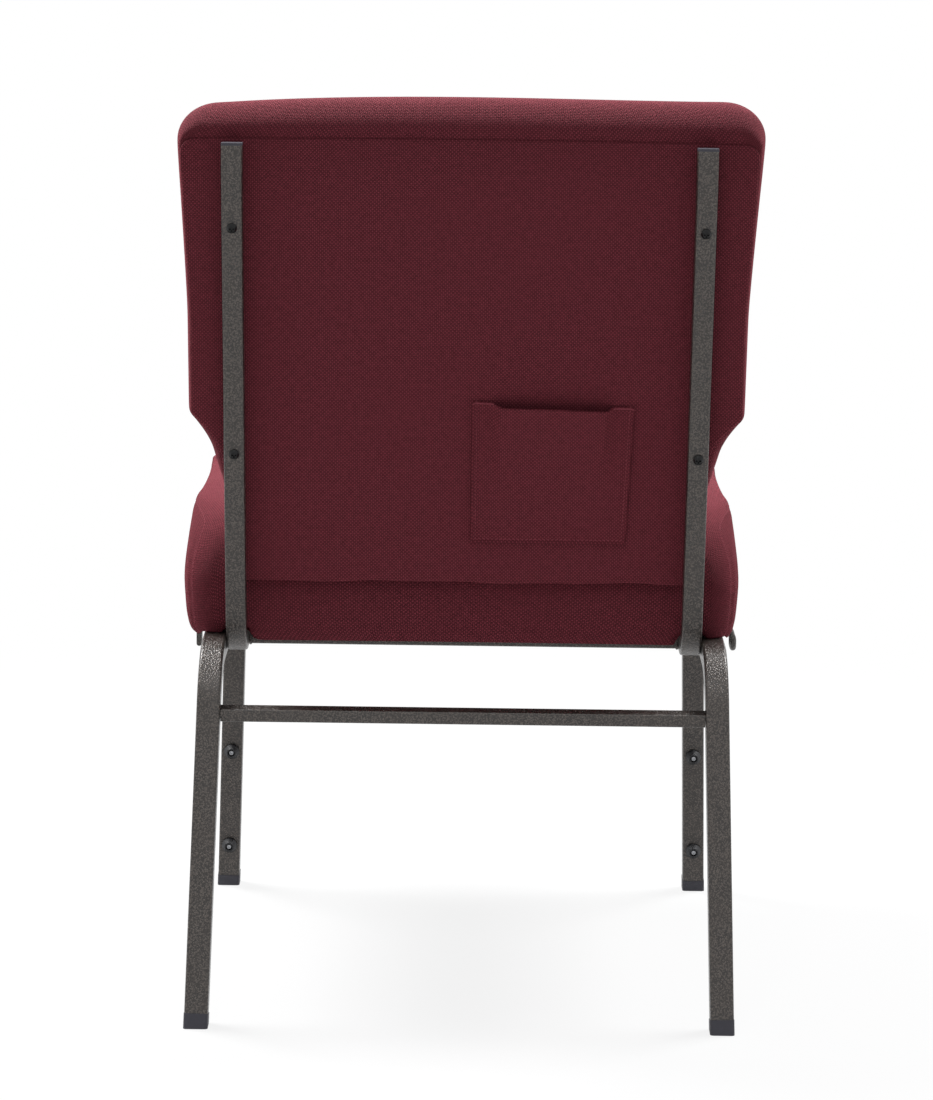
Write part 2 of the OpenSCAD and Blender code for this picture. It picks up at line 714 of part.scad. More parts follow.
// Seat cushion rings: height, then how far the side, the front and the rear are drawn in
seat_shares = [[0, 1, 0.9, 1.5], [0.05, 0.4, 0.5, 0.2], [0.14, 0.15, 0.2, 0.1], [0.28, 0.04, 0.03, 0],
    [0.4, 0, 0, 0.02], [0.52, 0.01, 0.1, 0.4], [0.66, 0.05, 0.5, 0.9], [0.78, 0.2, 1.2, 1.5],
    [0.87, 0.5, 2.2, 2.4], [0.935, 1.1, 4, 3.7], [0.975, 2.6, 6.6, 6.2], [1, 6, 10.5, 9.5]];
side_shares = [0.25, 0.5, 0.75];

function seat_ring(r, skin) =
    let(
        z = mix(seat_low_h + skin, rail_top_h + seat_thick - skin, r[0]),
        w = seat_half_w - seat_draw_in * r[1] - skin,
        f = seat_half_d - seat_draw_in * r[2] - skin,
        b = seat_half_d - seat_draw_in * r[3] - skin,
        c = seat_corner_r
    )
    [for (q = [[1, 1, 0], [-1, 1, 90], [-1, -1, 180], [1, -1, 270]])
        let(d = q[1] > 0 ? b : f, other = q[1] > 0 ? f : b)
        each concat(
            [for (a = [0:22.5:90])
                [q[0] * (w - c) + c * cos(q[2] + a), seat_mid_y + q[1] * (d - c) + c * sin(q[2] + a), z]],
            [for (t = side_shares)
                let(pull = side_pull * 4 * t * (1 - t))
                q[0] == q[1]
                    ? [q[0] * mix(w - c, c - w, t), seat_mid_y + q[1] * (d - pull), z]
                    : [q[0] * (w - pull), seat_mid_y + q[1] * mix(d - c, c - other, t), z]]
        )
    ];

module seat_form(skin) {
    ring_solid([for (r = seat_shares) seat_ring(r, skin)]);
}

// Plate in the outline of the seat board, wider by the clearance
module seat_plate(clear, low, high) {
    translate([0, seat_mid_y, low]) linear_extrude(height = high - low)
        round_square(2 * (seat_half_w - seat_draw_in - board_edge + clear),
            2 * (seat_half_d - seat_draw_in - board_edge + clear), seat_corner_r);
}

module seat_screw_bores(d, low, high) {
    for (side = [-1, 1], y = seat_screw_ys)
        translate([side * tube_x, y, low]) cylinder(d = d, h = high - low);
}

module seat_board() {
    color(wood_colour) difference() {
        seat_plate(0, board_low_h, board_top_h);
        seat_screw_bores(tee_barrel_d + 2 * thread_gap, board_low_h - overrun, board_top_h + overrun);
    }
}

module seat_foam() {
    color(foam_colour) difference() {
        seat_form(cloth_t + cloth_gap);
        seat_plate(cloth_gap, seat_low_h - overrun, board_top_h + seat_gap);
        seat_screw_bores(tee_flange_d + 2 * cloth_gap, board_low_h, board_top_h + tee_flange_t + cloth_gap);
    }
}

module seat_cover() {
    color(cloth_colour) difference() {
        seat_form(0);
        seat_form(cloth_t);
        seat_plate(-hem, seat_low_h - overrun, board_low_h);
    }
}

module seat_dust_cover() {
    color(dust_colour) difference() {
        seat_plate(-hem - cloth_gap, seat_low_h, seat_low_h + dust_t);
        seat_screw_bores(screw_d + 2 * hole_gap, seat_low_h - overrun, seat_low_h + dust_t + overrun);
    }
}

module seat_screws() {
    len = back_tube + board_top_h - rail_top_h;
    color(rubber_colour) for (side = [-1, 1], y = seat_screw_ys)
        translate([side * tube_x, y, rail_top_h - back_tube]) mirror([0, 0, 1])
            screw(screw_d, len, screw_head_d, screw_head_h);
}

module seat_tee_nuts() {
    color(steel_colour) for (side = [-1, 1], y = seat_screw_ys)
        translate([side * tube_x, y, board_top_h]) mirror([0, 0, 1])
            tee_nut(seat_board_t * stem_wall_share);
}

// Places a ganging part on the outer face of a leg frame, level with the top rail
module gang_place(side) {
    leg_plane(side) translate([leg_tube / 2 + weld_gap, rear_tangent_y - gang_set, 0])
        rotate([0, leg_splay, 0]) children();
}

// Flat strip welded on the left, bent over and turned down to a round end
module ganging_hook() {
    finger = hook_h - hook_t * 3 / 2;
    color(frame_colour) gang_place(1) rotate([90, 0, 0]) translate([0, 0, -hook_w / 2])
        linear_extrude(height = hook_w) translate([0, leg_tube / 2 - hook_t]) {
            square([hook_gap, hook_t]);
            translate([hook_gap, 0]) intersection() {
                circle(r = hook_t);
                square(hook_t);
            }
            translate([hook_gap, -finger]) square([hook_t, finger]);
            translate([hook_gap + hook_t / 2, -finger]) circle(r = hook_t / 2);
        }
}

// Round rod welded on the right, bent out and down into a loop that takes the hook of the next chair
module ganging_loop() {
    bend = loop_stand + loop_rod_d / 2;
    arm_y = (loop_gap + loop_rod_d) / 2;
    top = leg_tube / 2 - loop_rod_d / 2;
    corner = loop_rod_d;
    drop = loop_h - loop_rod_d - bend - corner;
    module half() {
        translate([0, arm_y, top - bend]) rotate([90, 0, 0]) rotate_extrude(angle = 90)
            translate([bend, 0]) circle(d = loop_rod_d);
        translate([bend, arm_y, top - bend - drop]) cylinder(d = loop_rod_d, h = drop);
        translate([bend, arm_y - corner, top - bend - drop]) rotate([0, 90, 0])
            rotate_extrude(angle = 90) translate([corner, 0]) circle(d = loop_rod_d);
        translate([bend, 0, top - bend - drop - corner]) rotate([-90, 0, 0])
            cylinder(d = loop_rod_d, h = arm_y - corner);
    }
    color(frame_colour) gang_place(-1) {
        half();
        mirror([0, 1, 0]) half();
    }
}

leg_frame(1);  // leg_frame_left
leg_frame(-1);  // leg_frame_right
back_tube(1);  // back_tube_left
back_tube(-1);  // back_tube_right
rear_cross_brace();
cross_rail(rail_front_y + front_cross_set);  // front_cross_rail
cross_rail(rail_rear_y - rear_cross_set);  // rear_cross_rail
foot_cap(1, false);  // foot_cap_front_left
foot_cap(-1, false);  // foot_cap_front_right
foot_cap(1, true);  // foot_cap_rear_left
foot_cap(-1, true);  // foot_cap_rear_right
upright_plug(1);  // upright_plug_left
upright_plug(-1);  // upright_plug_right
rail_plug(1);  // rail_plug_left
rail_plug(-1);  // rail_plug_right
bumper(1, bumper_low_h);  // bumper_low_left
bumper(-1, bumper_low_h);  // bumper_low_right
bumper(1, bumper_high_h);  // bumper_high_left
bumper(-1, bumper_high_h);  // bumper_high_right
bumper_screws();
back_board();
back_foam();
back_cover();
back_rear_panel();
card_pocket();
back_screws();
back_tee_nuts();
seat_board();
seat_foam();
seat_cover();
seat_dust_cover();
seat_screws();
seat_tee_nuts();
ganging_hook();
ganging_loop();
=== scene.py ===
# %% [markdown]
# # A choir chair, seen from behind
# This file is a lesson. It dresses the fixed frame of a stacking choir chair: the steel tubes, caps,
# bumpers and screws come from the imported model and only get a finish, while everything soft is built
# here. Each step says what the real piece is, how it could be made, and why one way was chosen.

# %% Load the frame
import json
import math
import bpy
import bmesh
import numpy as np
from mathutils import Matrix, Vector, noise
from mathutils.bvhtree import BVHTree
from mathutils.kdtree import KDTree


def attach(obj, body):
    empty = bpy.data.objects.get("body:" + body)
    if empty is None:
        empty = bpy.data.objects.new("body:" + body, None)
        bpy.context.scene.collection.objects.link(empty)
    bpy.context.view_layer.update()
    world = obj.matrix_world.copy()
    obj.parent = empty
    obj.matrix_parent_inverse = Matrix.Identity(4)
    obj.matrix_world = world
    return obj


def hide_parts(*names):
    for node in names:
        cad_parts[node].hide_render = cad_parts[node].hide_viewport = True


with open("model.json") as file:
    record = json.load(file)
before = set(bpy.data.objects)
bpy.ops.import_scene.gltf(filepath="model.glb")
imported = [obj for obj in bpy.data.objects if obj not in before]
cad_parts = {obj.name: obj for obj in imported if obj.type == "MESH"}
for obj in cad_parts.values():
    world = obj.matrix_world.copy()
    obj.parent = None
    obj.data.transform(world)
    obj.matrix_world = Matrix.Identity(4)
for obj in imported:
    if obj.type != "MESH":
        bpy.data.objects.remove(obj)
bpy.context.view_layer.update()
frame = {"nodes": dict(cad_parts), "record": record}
scene = bpy.context.scene
MM = 0.001

# %% [markdown]
# ## The camera
# The photograph was taken from straight behind and a little above, with a long lens, and leans by
# less than a degree. The camera could be placed by eye, but a long lens hides an error of distance, so
# its place was worked out from the chair's own right angles. No shift is needed: the chair's middle
# is in the middle of the frame.

# %% Camera
def add(name, data):
    """Puts an object into the scene."""
    made = bpy.data.objects.new(name, data)
    scene.collection.objects.link(made)
    return made


CAMERA_AIM = Vector((-1.4, 30.6, 404.6)) * MM
CAMERA_DISTANCE = 4.0
CAMERA_PITCH = math.radians(10.12)
CAMERA_ROLL = math.radians(0.73)
FOCAL_PIXELS = 4119
FRAME_PIXELS = 933
SENSOR = 36.0

look = Vector((0, -math.cos(CAMERA_PITCH), -math.sin(CAMERA_PITCH)))
side = look.cross(Vector((0, 0, 1))).normalized()
up = side.cross(look)
right = side * math.cos(CAMERA_ROLL) + up * math.sin(CAMERA_ROLL)
top = up * math.cos(CAMERA_ROLL) - side * math.sin(CAMERA_ROLL)
turn = Matrix((right, top, -look)).transposed()
camera_data = bpy.data.cameras.new("camera")
camera_data.sensor_width = SENSOR
camera_data.sensor_fit = "HORIZONTAL"
camera_data.lens = FOCAL_PIXELS / FRAME_PIXELS * SENSOR
camera = add("camera", camera_data)
camera.matrix_world = Matrix.Translation(CAMERA_AIM - look * CAMERA_DISTANCE) @ turn.to_4x4()
scene.camera = camera
scene.view_settings.view_transform = "Standard"
print("camera:", [round(v, 3) for v in camera.location], "lens", round(camera_data.lens, 1))

# %% [markdown]
# ## Shader maths as Python
# A finish is a tree of nodes. Written node by node it is long and hard to read, so one small class
# stands for an output socket and turns Python's operators into Math nodes. Everything that isn't
# arithmetic comes from one method that takes the node's type, its settings and its inputs.

# %% Wires and finishes
def operator(operation, reflected=False):
    """The method behind one of Python's operators: it adds a Math node."""
    def method(self, other):
        return self.maths(operation, *((other, self) if reflected else (self, other)))
    return method


class Wire:
    """One output of a node. An expression on wires adds the Math nodes that work it out."""

    __add__ = __radd__ = operator("ADD")
    __mul__ = __rmul__ = operator("MULTIPLY")
    __sub__, __rsub__ = operator("SUBTRACT"), operator("SUBTRACT", reflected=True)
    __truediv__, __pow__, __mod__ = operator("DIVIDE"), operator("POWER"), operator("FLOORED_MODULO")

    def __init__(self, finish, socket):
        self.finish, self.socket = finish, socket

    def maths(self, operation, *values):
        """A Math node on these values, which are wires or numbers."""
        return self.finish.node("ShaderNodeMath", {"operation": operation}, dict(enumerate(values)))

    def floor(self):
        return self.maths("FLOOR", self)

    def hump(self):
        """One smooth hump, from 0 to 1 and back, for each whole unit of this value."""
        return self.maths("ABSOLUTE", self.maths("SINE", self * math.pi))


class Finish:
    """The node tree of a new material, or of a world that is given."""

    def __init__(self, name, world=None):
        self.material = world or bpy.data.materials.new(name)
        self.material.use_nodes = True
        self.tree = self.material.node_tree
        self.tree.nodes.clear()

    def node(self, kind, settings=None, inputs=None, out=0):
        """Adds a node: its settings first, then the values or links of its inputs."""
        made = self.tree.nodes.new(kind)
        for key, value in (settings or {}).items():
            setattr(made, key, value)
        for key, value in (inputs or {}).items():
            socket = find_socket(made.inputs, key)
            if isinstance(value, Wire):
                self.tree.links.new(value.socket, socket)
            else:
                socket.default_value = value
        return Wire(self, find_socket(made.outputs, out))

    def place(self):
        """Where a point lies on its object, in metres."""
        return self.node("ShaderNodeTexCoord", {}, {}, "Object")

    def noise(self, place, scale, detail=2.0, roughness=0.5):
        return self.node("ShaderNodeTexNoise", {}, {"Vector": place, "Scale": scale, "Detail": detail,
                                                    "Roughness": roughness}, "Fac")

    def mask(self, value, low, high):
        """0 below low, 1 above high, smooth between."""
        return self.node("ShaderNodeMapRange", {"interpolation_type": "SMOOTHSTEP"},
                         {"Value": value, "From Min": low, "From Max": high})

    def blend(self, share, a, b):
        """A colour between two colours."""
        return self.node("ShaderNodeMix", {"data_type": "RGBA"},
                         {"Factor_Float": share, "A_Color": a, "B_Color": b}, "Result_Color")

    def bump(self, height, distance, strength=1.0):
        return self.node("ShaderNodeBump", {}, {"Height": height, "Distance": distance,
                                                "Strength": strength})

    def surface(self, **inputs):
        """Ends the tree in a Principled shader. Underscores in a name stand for spaces."""
        shader = self.node("ShaderNodeBsdfPrincipled", {},
                           {key.replace("_", " "): value for key, value in inputs.items()})
        self.node("ShaderNodeOutputMaterial", {}, {"Surface": shader}, None)
        return self.material


def find_socket(sockets, key):
    """A socket by its number, its identifier or its name."""
    if key is None:
        return None
    if isinstance(key, int):
        return sockets[key]
    for socket in sockets:
        if socket.identifier == key:
            return socket
    return sockets[key]


def srgb(r, g, b):
    """A colour read off as 0 to 255, as the linear colour that a shader takes."""
    return tuple(((v / 255 + 0.055) / 1.055) ** 2.4 if v > 10 else v / 255 / 12.92
                 for v in (r, g, b)) + (1.0,)


print("shader maths ready; burgundy is", [round(v, 3) for v in srgb(112, 32, 46)])

# %% [markdown]
# ## The hammered paint of the frame
# The tubes carry a vein powder coat: a dark brown base with grey-bronze grains about a millimetre
# across, which also stand proud and catch the light as small sparks. A flat colour with a noise bump
# would look like plain satin paint, so the same grains drive the colour, the gloss and the bump.

# %% Frame paint
PAINT_BASE, PAINT_GRAIN, PAINT_WORN = (34, 29, 26), (86, 78, 72), (64, 56, 50)


def frame_paint():
    f = Finish("frame_vein_paint")
    place = f.place()
    veins = f.noise(place, 560, 2.5, 0.6)
    cells = f.node("ShaderNodeTexVoronoi", {"feature": "SMOOTH_F1"},
                   {"Vector": place, "Scale": 620.0, "Smoothness": 0.5, "Randomness": 1.0}, "Distance")
    grain = f.mask(cells * 0.7 + veins * 0.7, 0.5, 0.78)
    patches = f.mask(f.noise(place, 38, 3.0), 0.3, 0.75)
    dust = f.noise(place, 2600, 1.0)
    colour = f.blend(grain, srgb(*PAINT_GRAIN), srgb(*PAINT_BASE))
    colour = f.blend(patches * 0.3, colour, srgb(*PAINT_WORN))
    relief = (1 - grain) * 0.7 + dust * 0.35
    return f.surface(Base_Color=colour, Metallic=0.3, Roughness=grain * 0.1 + 0.25 + patches * 0.05,
                     Specular_IOR_Level=0.75, Coat_Weight=0.12, Coat_Roughness=0.12,
                     Normal=f.bump(relief, 0.0004, 0.8))


paint = frame_paint()
print("paint made with", len(paint.node_tree.nodes), "nodes")

# %% [markdown]
# ## Plastic, rubber and steel
# The small parts are moulded or turned. Each gets its own fine grain at real scale, because a smooth
# shader makes a foot cap look like polished glass.

# %% Small parts' finishes
def moulded(name, colour, roughness, grain_scale, grain_depth, gloss=0.5):
    f = Finish(name)
    place = f.place()
    grain = f.noise(place, grain_scale, 3.0)
    scuffs = f.mask(f.noise(place, 90, 4.0, 0.65), 0.52, 0.8)
    tone = f.blend(scuffs * 0.4, srgb(*colour), srgb(*(min(255, c + 26) for c in colour)))
    return f.surface(Base_Color=tone, Roughness=scuffs * 0.12 + roughness, Specular_IOR_Level=gloss,
                     Normal=f.bump(grain, grain_depth, 0.6))


def metal(name, colour, roughness, streak_scale):
    f = Finish(name)
    place = f.place()
    streaks = f.noise(place, streak_scale, 4.0)
    tone = f.blend(streaks, srgb(*(int(c * 0.8) for c in colour)), srgb(*colour))
    return f.surface(Base_Color=tone, Metallic=1.0, Roughness=streaks * 0.15 + roughness,
                     Normal=f.bump(streaks, 0.00004, 0.5))


cap_plastic = moulded("cap_plastic_grain", (44, 43, 52), 0.5, 1500, 0.00006)
bumper_rubber = moulded("bumper_rubber_matt", (30, 30, 33), 0.62, 1100, 0.00008)
screw_black = moulded("screw_black_oxide", (9, 9, 11), 0.24, 1900, 0.00003, 0.28)
zinc = metal("zinc_plating", (178, 180, 184), 0.3, 600)
print("small parts: 4 finishes")

# %% [markdown]
# ## Plywood and felt
# The boards and the black cloth under the seat stay out of sight from behind, but a part is looked at
# from every side. The plywood has long grain along X and thin dark glue lines at its edge, which a
# wave along Z gives. Thread takes the same felt, in the colour of the cover.

# %% Hidden materials
def plywood():
    f = Finish("plywood_bare")
    place = f.place()
    stretched = f.node("ShaderNodeMapping", {}, {"Vector": place, "Scale": (3.0, 60.0, 60.0)})
    grain = f.noise(stretched, 3.0, 6.0, 0.6)
    height = f.node("ShaderNodeSeparateXYZ", {}, {"Vector": place}, "Z")
    ply = f.mask((height * 420).hump(), 0.0, 0.3)
    tone = f.blend(grain, srgb(176, 136, 92), srgb(214, 180, 134))
    tone = f.blend((1 - ply) * 0.45, tone, srgb(112, 76, 46))
    return f.surface(Base_Color=tone, Roughness=grain * 0.2 + 0.6, Normal=f.bump(grain, 0.0002, 0.5))


def felt(name, dark, light):
    f = Finish(name)
    place = f.place()
    fibres = f.noise(place, 900, 4.0, 0.7)
    return f.surface(Base_Color=f.blend(fibres, srgb(*dark), srgb(*light)), Roughness=0.95,
                     Normal=f.bump(fibres, 0.0002, 0.7))


bare_wood = plywood()
dust_felt = felt("dust_cloth_felt", (16, 16, 17), (46, 46, 48))
print("plywood and felt made")

# %% [markdown]
# ## The burgundy cloth
# The cover is a coarse basket weave: its threads show as a grid of dots less than 2 mm apart, with
# thick and thin threads. The crowns are painted lighter and the gaps painted darker, which is painted
# light and painted shade. An image would blur, so the weave is worked out from each piece's own UV map,
# which is in metres and follows the surface as the real cloth does. One thread lies over the other in a
# chequer.

# %% Cloth
WEAVE_PITCH = 1.75 * MM
# the dark end takes painted shade in the gaps and the light end painted light on the crowns, besides the
# slubs
CLOTH_DARK, CLOTH_MID, CLOTH_LIGHT = (52, 14, 20), (96, 33, 42), (132, 55, 66)


def woven_cloth(name, pitch):
    f = Finish(name)
    uv = f.node("ShaderNodeUVMap", {"uv_map": "weave"})
    wander = f.noise(uv, 14, 2.0)
    u = f.node("ShaderNodeSeparateXYZ", {}, {"Vector": uv}, "X") / pitch + wander * 1.1
    v = f.node("ShaderNodeSeparateXYZ", {}, {"Vector": uv}, "Y") / pitch + wander * 0.9
    over = (u.floor() + v.floor()) % 2
    across, along = u.hump(), v.hump()
    warp = across ** 0.55 * along ** 0.35
    weft = across ** 0.35 * along ** 0.55
    crown = over * warp + (1 - over) * weft
    slub = f.noise(uv, 190, 3.0, 0.6)
    fuzz = f.noise(uv, 2400, 3.0, 0.7)
    tone = f.noise(uv, 5, 3.0)
    # painted light and shade: the colour is lighter on the thread crowns and darker in the gaps, as the
    # bump; weft crowns count half
    crown_light_gap_shade = over * warp + (1 - over) * weft * 0.5
    light = f.mask(crown_light_gap_shade * 0.8 + slub * 0.4 + fuzz * 0.1, 0.3, 1.1)
    colour = f.blend(light, srgb(*CLOTH_DARK), srgb(*CLOTH_LIGHT))
    colour = f.blend(f.mask(tone, 0.3, 0.8) * 0.2 + 0.15, colour, srgb(*CLOTH_MID))
    return f.surface(Base_Color=colour, Roughness=fuzz * 0.1 + 0.84, Sheen_Weight=0.3,
                     Sheen_Roughness=0.45, Sheen_Tint=srgb(205, 84, 98), Specular_IOR_Level=0.2,
                     Normal=f.bump(crown * 0.9 + fuzz * 0.16, 0.0005, 0.9))


cloth = woven_cloth("burgundy_basket_weave", WEAVE_PITCH)
thread = felt("burgundy_thread", (96, 33, 43), (150, 67, 79))
print("cloth made with", len(cloth.node_tree.nodes), "nodes")

# %% [markdown]
# ## Finishes on the frame's own pieces
# A CAD node whose shape is right stays as it is. Only its material changes, by the record's slot.

# %% Finishes by slot
slot_finish = {
    "frame_paint": paint, "cap_plastic": cap_plastic, "bumper_rubber": bumper_rubber,
    "black_screw": screw_black, "zinc_steel": zinc, "plywood": bare_wood,
}
node_slot = {s["node"]: s["material_slot"] for s in frame["record"]["subparts"]}
for name, piece in frame["nodes"].items():
    finish = slot_finish.get(node_slot[name])
    if finish:
        for material_slot in piece.material_slots:
            material_slot.material = finish
print("finished nodes:", sum(node_slot[n] in slot_finish for n in frame["nodes"]))

# %% [markdown]
# ## The datum of the back
# Everything on the back lies on the uprights, which lean by 12 degrees and bend forward at the top. So
# each soft form is drawn in flat sizes: x across, s up the front face of the uprights and n forward
# of it. One function carries these to the room, and it is the same one that the solids were made by.

# %% Datum and outline of the back
RECLINE = math.radians(12)
RAIL_TOP, RAIL_REAR_Y, SEAT_BEND_FACE_R = 344.0, 133.0, 30.5
UPRIGHT_LEN, TOP_FACE_R = 410.8, 190.5
START_Y = RAIL_REAR_Y + SEAT_BEND_FACE_R * math.cos(RECLINE)
START_Z = RAIL_TOP + SEAT_BEND_FACE_R * (1 - math.sin(RECLINE))
BACK_THICK, TAIL_THICK = 62.0, 24.0
BACK_HALF_W, WAIST_HALF_W, TAIL_HALF_W = 266.0, 258.5, 223.0
TAIL_LOW, NOTCH_LOW, WING_LOW, SEAM_H, TOP_ROLL = 31.5, 117.0, 196.0, 459.0, 43.0
TOP_CORNER, PANEL_CORNER, TAIL_CORNER, WING_CORNER = 40.0, 12.0, 14.0, 10.0
TOP_CROWN, SEAM_CROWN, PANEL_T, SIDE_ROLL = 6.0, 2.0, 2.6, 5.0
# droop of the top corner, width added at the top and inset of the notch, for the left half and the right
TOP_CHANGES = ((3.5, 0.0), (-4.0, 2.8))
SEAM_CHANGES = ((0.0, 0.0, 4.5), (0.0, 0.0, 6.5))
NOTCH_SHARES = [(0, 0), (0.27, 0.36), (0.42, 0.58), (0.67, 0.79), (1, 1)]
FLARE_FROM, FLARE_POWER = 0.36, 1.15
BACK_MIDDLE = np.array([0, (TAIL_LOW + SEAM_H) / 2])
# how many points the outline has along each of its lines and corners
TAIL_N, TAIL_CORNER_N, TAIL_SIDE_N, NOTCH_N = 30, 6, 10, 16
WING_CORNER_N, SIDE_N, TOP_CORNER_N, TOP_N = 5, 34, 14, 34


def on_back(x, s, n):
    """Places flat sizes in mm on the leaning back. Returns metres."""
    x, s, n = np.broadcast_arrays(*(np.asarray(v, float) for v in (x, s, n)))
    angle = np.maximum(s - UPRIGHT_LEN, 0) / TOP_FACE_R
    out = -TOP_FACE_R + (TOP_FACE_R - n) * np.cos(angle)
    rise = np.minimum(s, UPRIGHT_LEN) + (TOP_FACE_R - n) * np.sin(angle)
    y = START_Y + out * math.cos(RECLINE) + rise * math.sin(RECLINE)
    z = START_Z - out * math.sin(RECLINE) + rise * math.cos(RECLINE)
    return np.stack([x, y, z], -1) * MM


def eased(t):
    """From 0 to 1 with a slow start and a slow end."""
    return t * t * (3 - 2 * t)


def smooth_through(points, t):
    """A smooth curve through the points. t runs from 0 to 1."""
    p = np.asarray(points, float)
    last = len(p) - 1
    place = np.clip(np.asarray(t, float), 0, 1) * last
    i = np.minimum(place.astype(int), last - 1)
    f = (place - i)[..., None]
    a, b, c, d = p[np.maximum(i - 1, 0)], p[i], p[i + 1], p[np.minimum(i + 2, last)]
    bend, twist = 2 * a - 5 * b + 4 * c - d, 3 * b - a - 3 * c + d
    return 0.5 * (2 * b + (c - a) * f + bend * f ** 2 + twist * f ** 3)


def steps(start, stop, count):
    """Even steps that leave out the end."""
    return np.linspace(start, stop, count, endpoint=False)


def corner_points(x, s, r, start, stop, count):
    """An arc of radius r round (x, s), between two angles in degrees."""
    a = np.radians(steps(start, stop, count))
    return np.stack([x + r * np.cos(a), s + r * np.sin(a)], -1)


def half_outline(inset, top, corner, crown, droop=0.0, wider=0.0, notch_inset=0.0):
    """The back's outline from the middle of the tail, up the side, to the middle of the top."""
    w_top, w_mid, w_tail = (w - inset for w in (BACK_HALF_W, WAIST_HALF_W, TAIL_HALF_W))
    w_top += wider
    low = TAIL_LOW + inset
    tip = (w_mid - WING_CORNER * (1 - math.cos(math.pi / 4)),
           WING_LOW + inset - WING_CORNER * math.sin(math.pi / 4))
    foot = (w_tail + 2, NOTCH_LOW)
    shares = smooth_through(NOTCH_SHARES, steps(0, 1, NOTCH_N))
    hollow = np.sin(np.pi * steps(0, 1, NOTCH_N)) * notch_inset
    notch = np.stack([foot[0] + (tip[0] - foot[0]) * shares[:, 0] - hollow * 0.9,
                      foot[1] + (tip[1] - foot[1]) * shares[:, 1] + hollow * 0.45], -1)
    rise = steps(0, 1, SIDE_N)
    flare = np.clip((rise - FLARE_FROM) / (1 - FLARE_FROM), 0, 1) ** FLARE_POWER
    bottom = np.stack([steps(0, w_tail - TAIL_CORNER, TAIL_N), np.full(TAIL_N, low)], -1)
    tail_side = np.stack([steps(w_tail, foot[0], TAIL_SIDE_N),
                          steps(low + TAIL_CORNER, NOTCH_LOW, TAIL_SIDE_N)], -1)
    side_line = np.stack([w_mid + (w_top - w_mid) * flare,
                          WING_LOW + inset + (top - droop - corner - WING_LOW - inset) * rise], -1)
    level = np.linspace(1, 0, TOP_N)
    edge = np.stack([(w_top - corner) * level, top + crown * (1 - level ** 2) - droop * level ** 3], -1)
    return np.concatenate([
        bottom,
        corner_points(w_tail - TAIL_CORNER, low + TAIL_CORNER, TAIL_CORNER, -90, 0, TAIL_CORNER_N),
        tail_side, notch,
        corner_points(w_mid - WING_CORNER, WING_LOW + inset, WING_CORNER, -45, 0, WING_CORNER_N),
        side_line,
        corner_points(w_top - corner, top - droop - corner, corner, 0, 90, TOP_CORNER_N), edge])


def whole_outline(*args, changes=((), ())):
    """Both halves: the left one, on +X, then the right one mirrored."""
    left, right = (half_outline(*args, *change) for change in changes)
    return np.concatenate([left, right[-2:0:-1] * (-1, 1)])


def softened(ring, rounds):
    """Rounds the kinks of a closed ring."""
    for _ in range(rounds):
        ring = 0.5 * ring + 0.25 * (np.roll(ring, 1, 0) + np.roll(ring, -1, 0))
    return ring


full_back = whole_outline(0, SEAM_H + TOP_ROLL, TOP_CORNER, TOP_CROWN, changes=TOP_CHANGES)
seam_of_back = whole_outline(SIDE_ROLL, SEAM_H, PANEL_CORNER, SEAM_CROWN, changes=SEAM_CHANGES)
print("outline of the back has", len(full_back), "points")

# %% [markdown]
# ## Meshes from rings
# A cushion, a panel and a padded edge are all rings of points with a skin between them. One helper
# joins the rings, closes both ends, turns the faces outwards and writes the weave's UV map. Where a
# cushion rolls over an edge the map follows the ring, and on a flat face it follows the face.

# %% Ring meshes and the weave's map
def ring_mesh(name, rings, finish, flat_from, flat_uv, map_from=0):
    """Skins rings, which are (points, 3) arrays in metres, all of one length. From ring flat_from on,
    flat_uv gives the map from a place. Before it the map follows the rings, counted from ring map_from."""
    count, points = len(rings), len(rings[0])
    verts = np.concatenate(rings + [rings[0].mean(0)[None], rings[-1].mean(0)[None]])
    nxt = (np.arange(points) + 1) % points
    base = np.arange(points)
    faces = [np.stack([j * points + base, j * points + nxt, (j + 1) * points + nxt,
                       (j + 1) * points + base], -1) for j in range(count - 1)]
    faces = [tuple(f) for block in faces for f in block]
    faces += [(count * points, int(b), int(a)) for a, b in zip(base, nxt)]
    faces += [(count * points + 1, (count - 1) * points + int(a), (count - 1) * points + int(b))
              for a, b in zip(base, nxt)]
    mesh = bpy.data.meshes.new(name)
    mesh.from_pydata(verts.tolist(), [], faces)
    around = np.cumsum(np.linalg.norm(rings[flat_from] - np.roll(rings[flat_from], 1, 0), axis=1))
    way = np.linalg.norm(np.diff(np.stack(rings), axis=0), axis=2)
    across = np.concatenate([np.zeros((1, points)), np.cumsum(way, 0)])
    across = across - across[map_from]
    layer = mesh.uv_layers.new(name="weave")
    for polygon in mesh.polygons:
        ids = list(polygon.vertices)
        ring_no = min(ids) // points
        for loop, vert in zip(polygon.loop_indices, ids):
            if vert >= count * points or ring_no >= flat_from:
                layer.data[loop].uv = flat_uv(verts[vert])
            else:
                i = vert % points
                wraps = i == 0 and (points - 1 in {k % points for k in ids})
                u = around[-1] + around[0] if wraps else around[i]
                layer.data[loop].uv = (u, across[vert // points, i])
    piece = add(name, mesh)
    mesh.materials.append(finish)
    turn_outwards(piece)
    mesh.shade_smooth()
    return piece


def turn_outwards(piece):
    """Makes all faces look outwards."""
    shape = bmesh.new()
    shape.from_mesh(piece.data)
    bmesh.ops.recalc_face_normals(shape, faces=shape.faces)
    shape.to_mesh(piece.data)
    shape.free()


def get_points(mesh):
    """The places of a mesh's points."""
    flat = np.empty(len(mesh.vertices) * 3)
    mesh.vertices.foreach_get("co", flat)
    return flat.reshape(-1, 3)


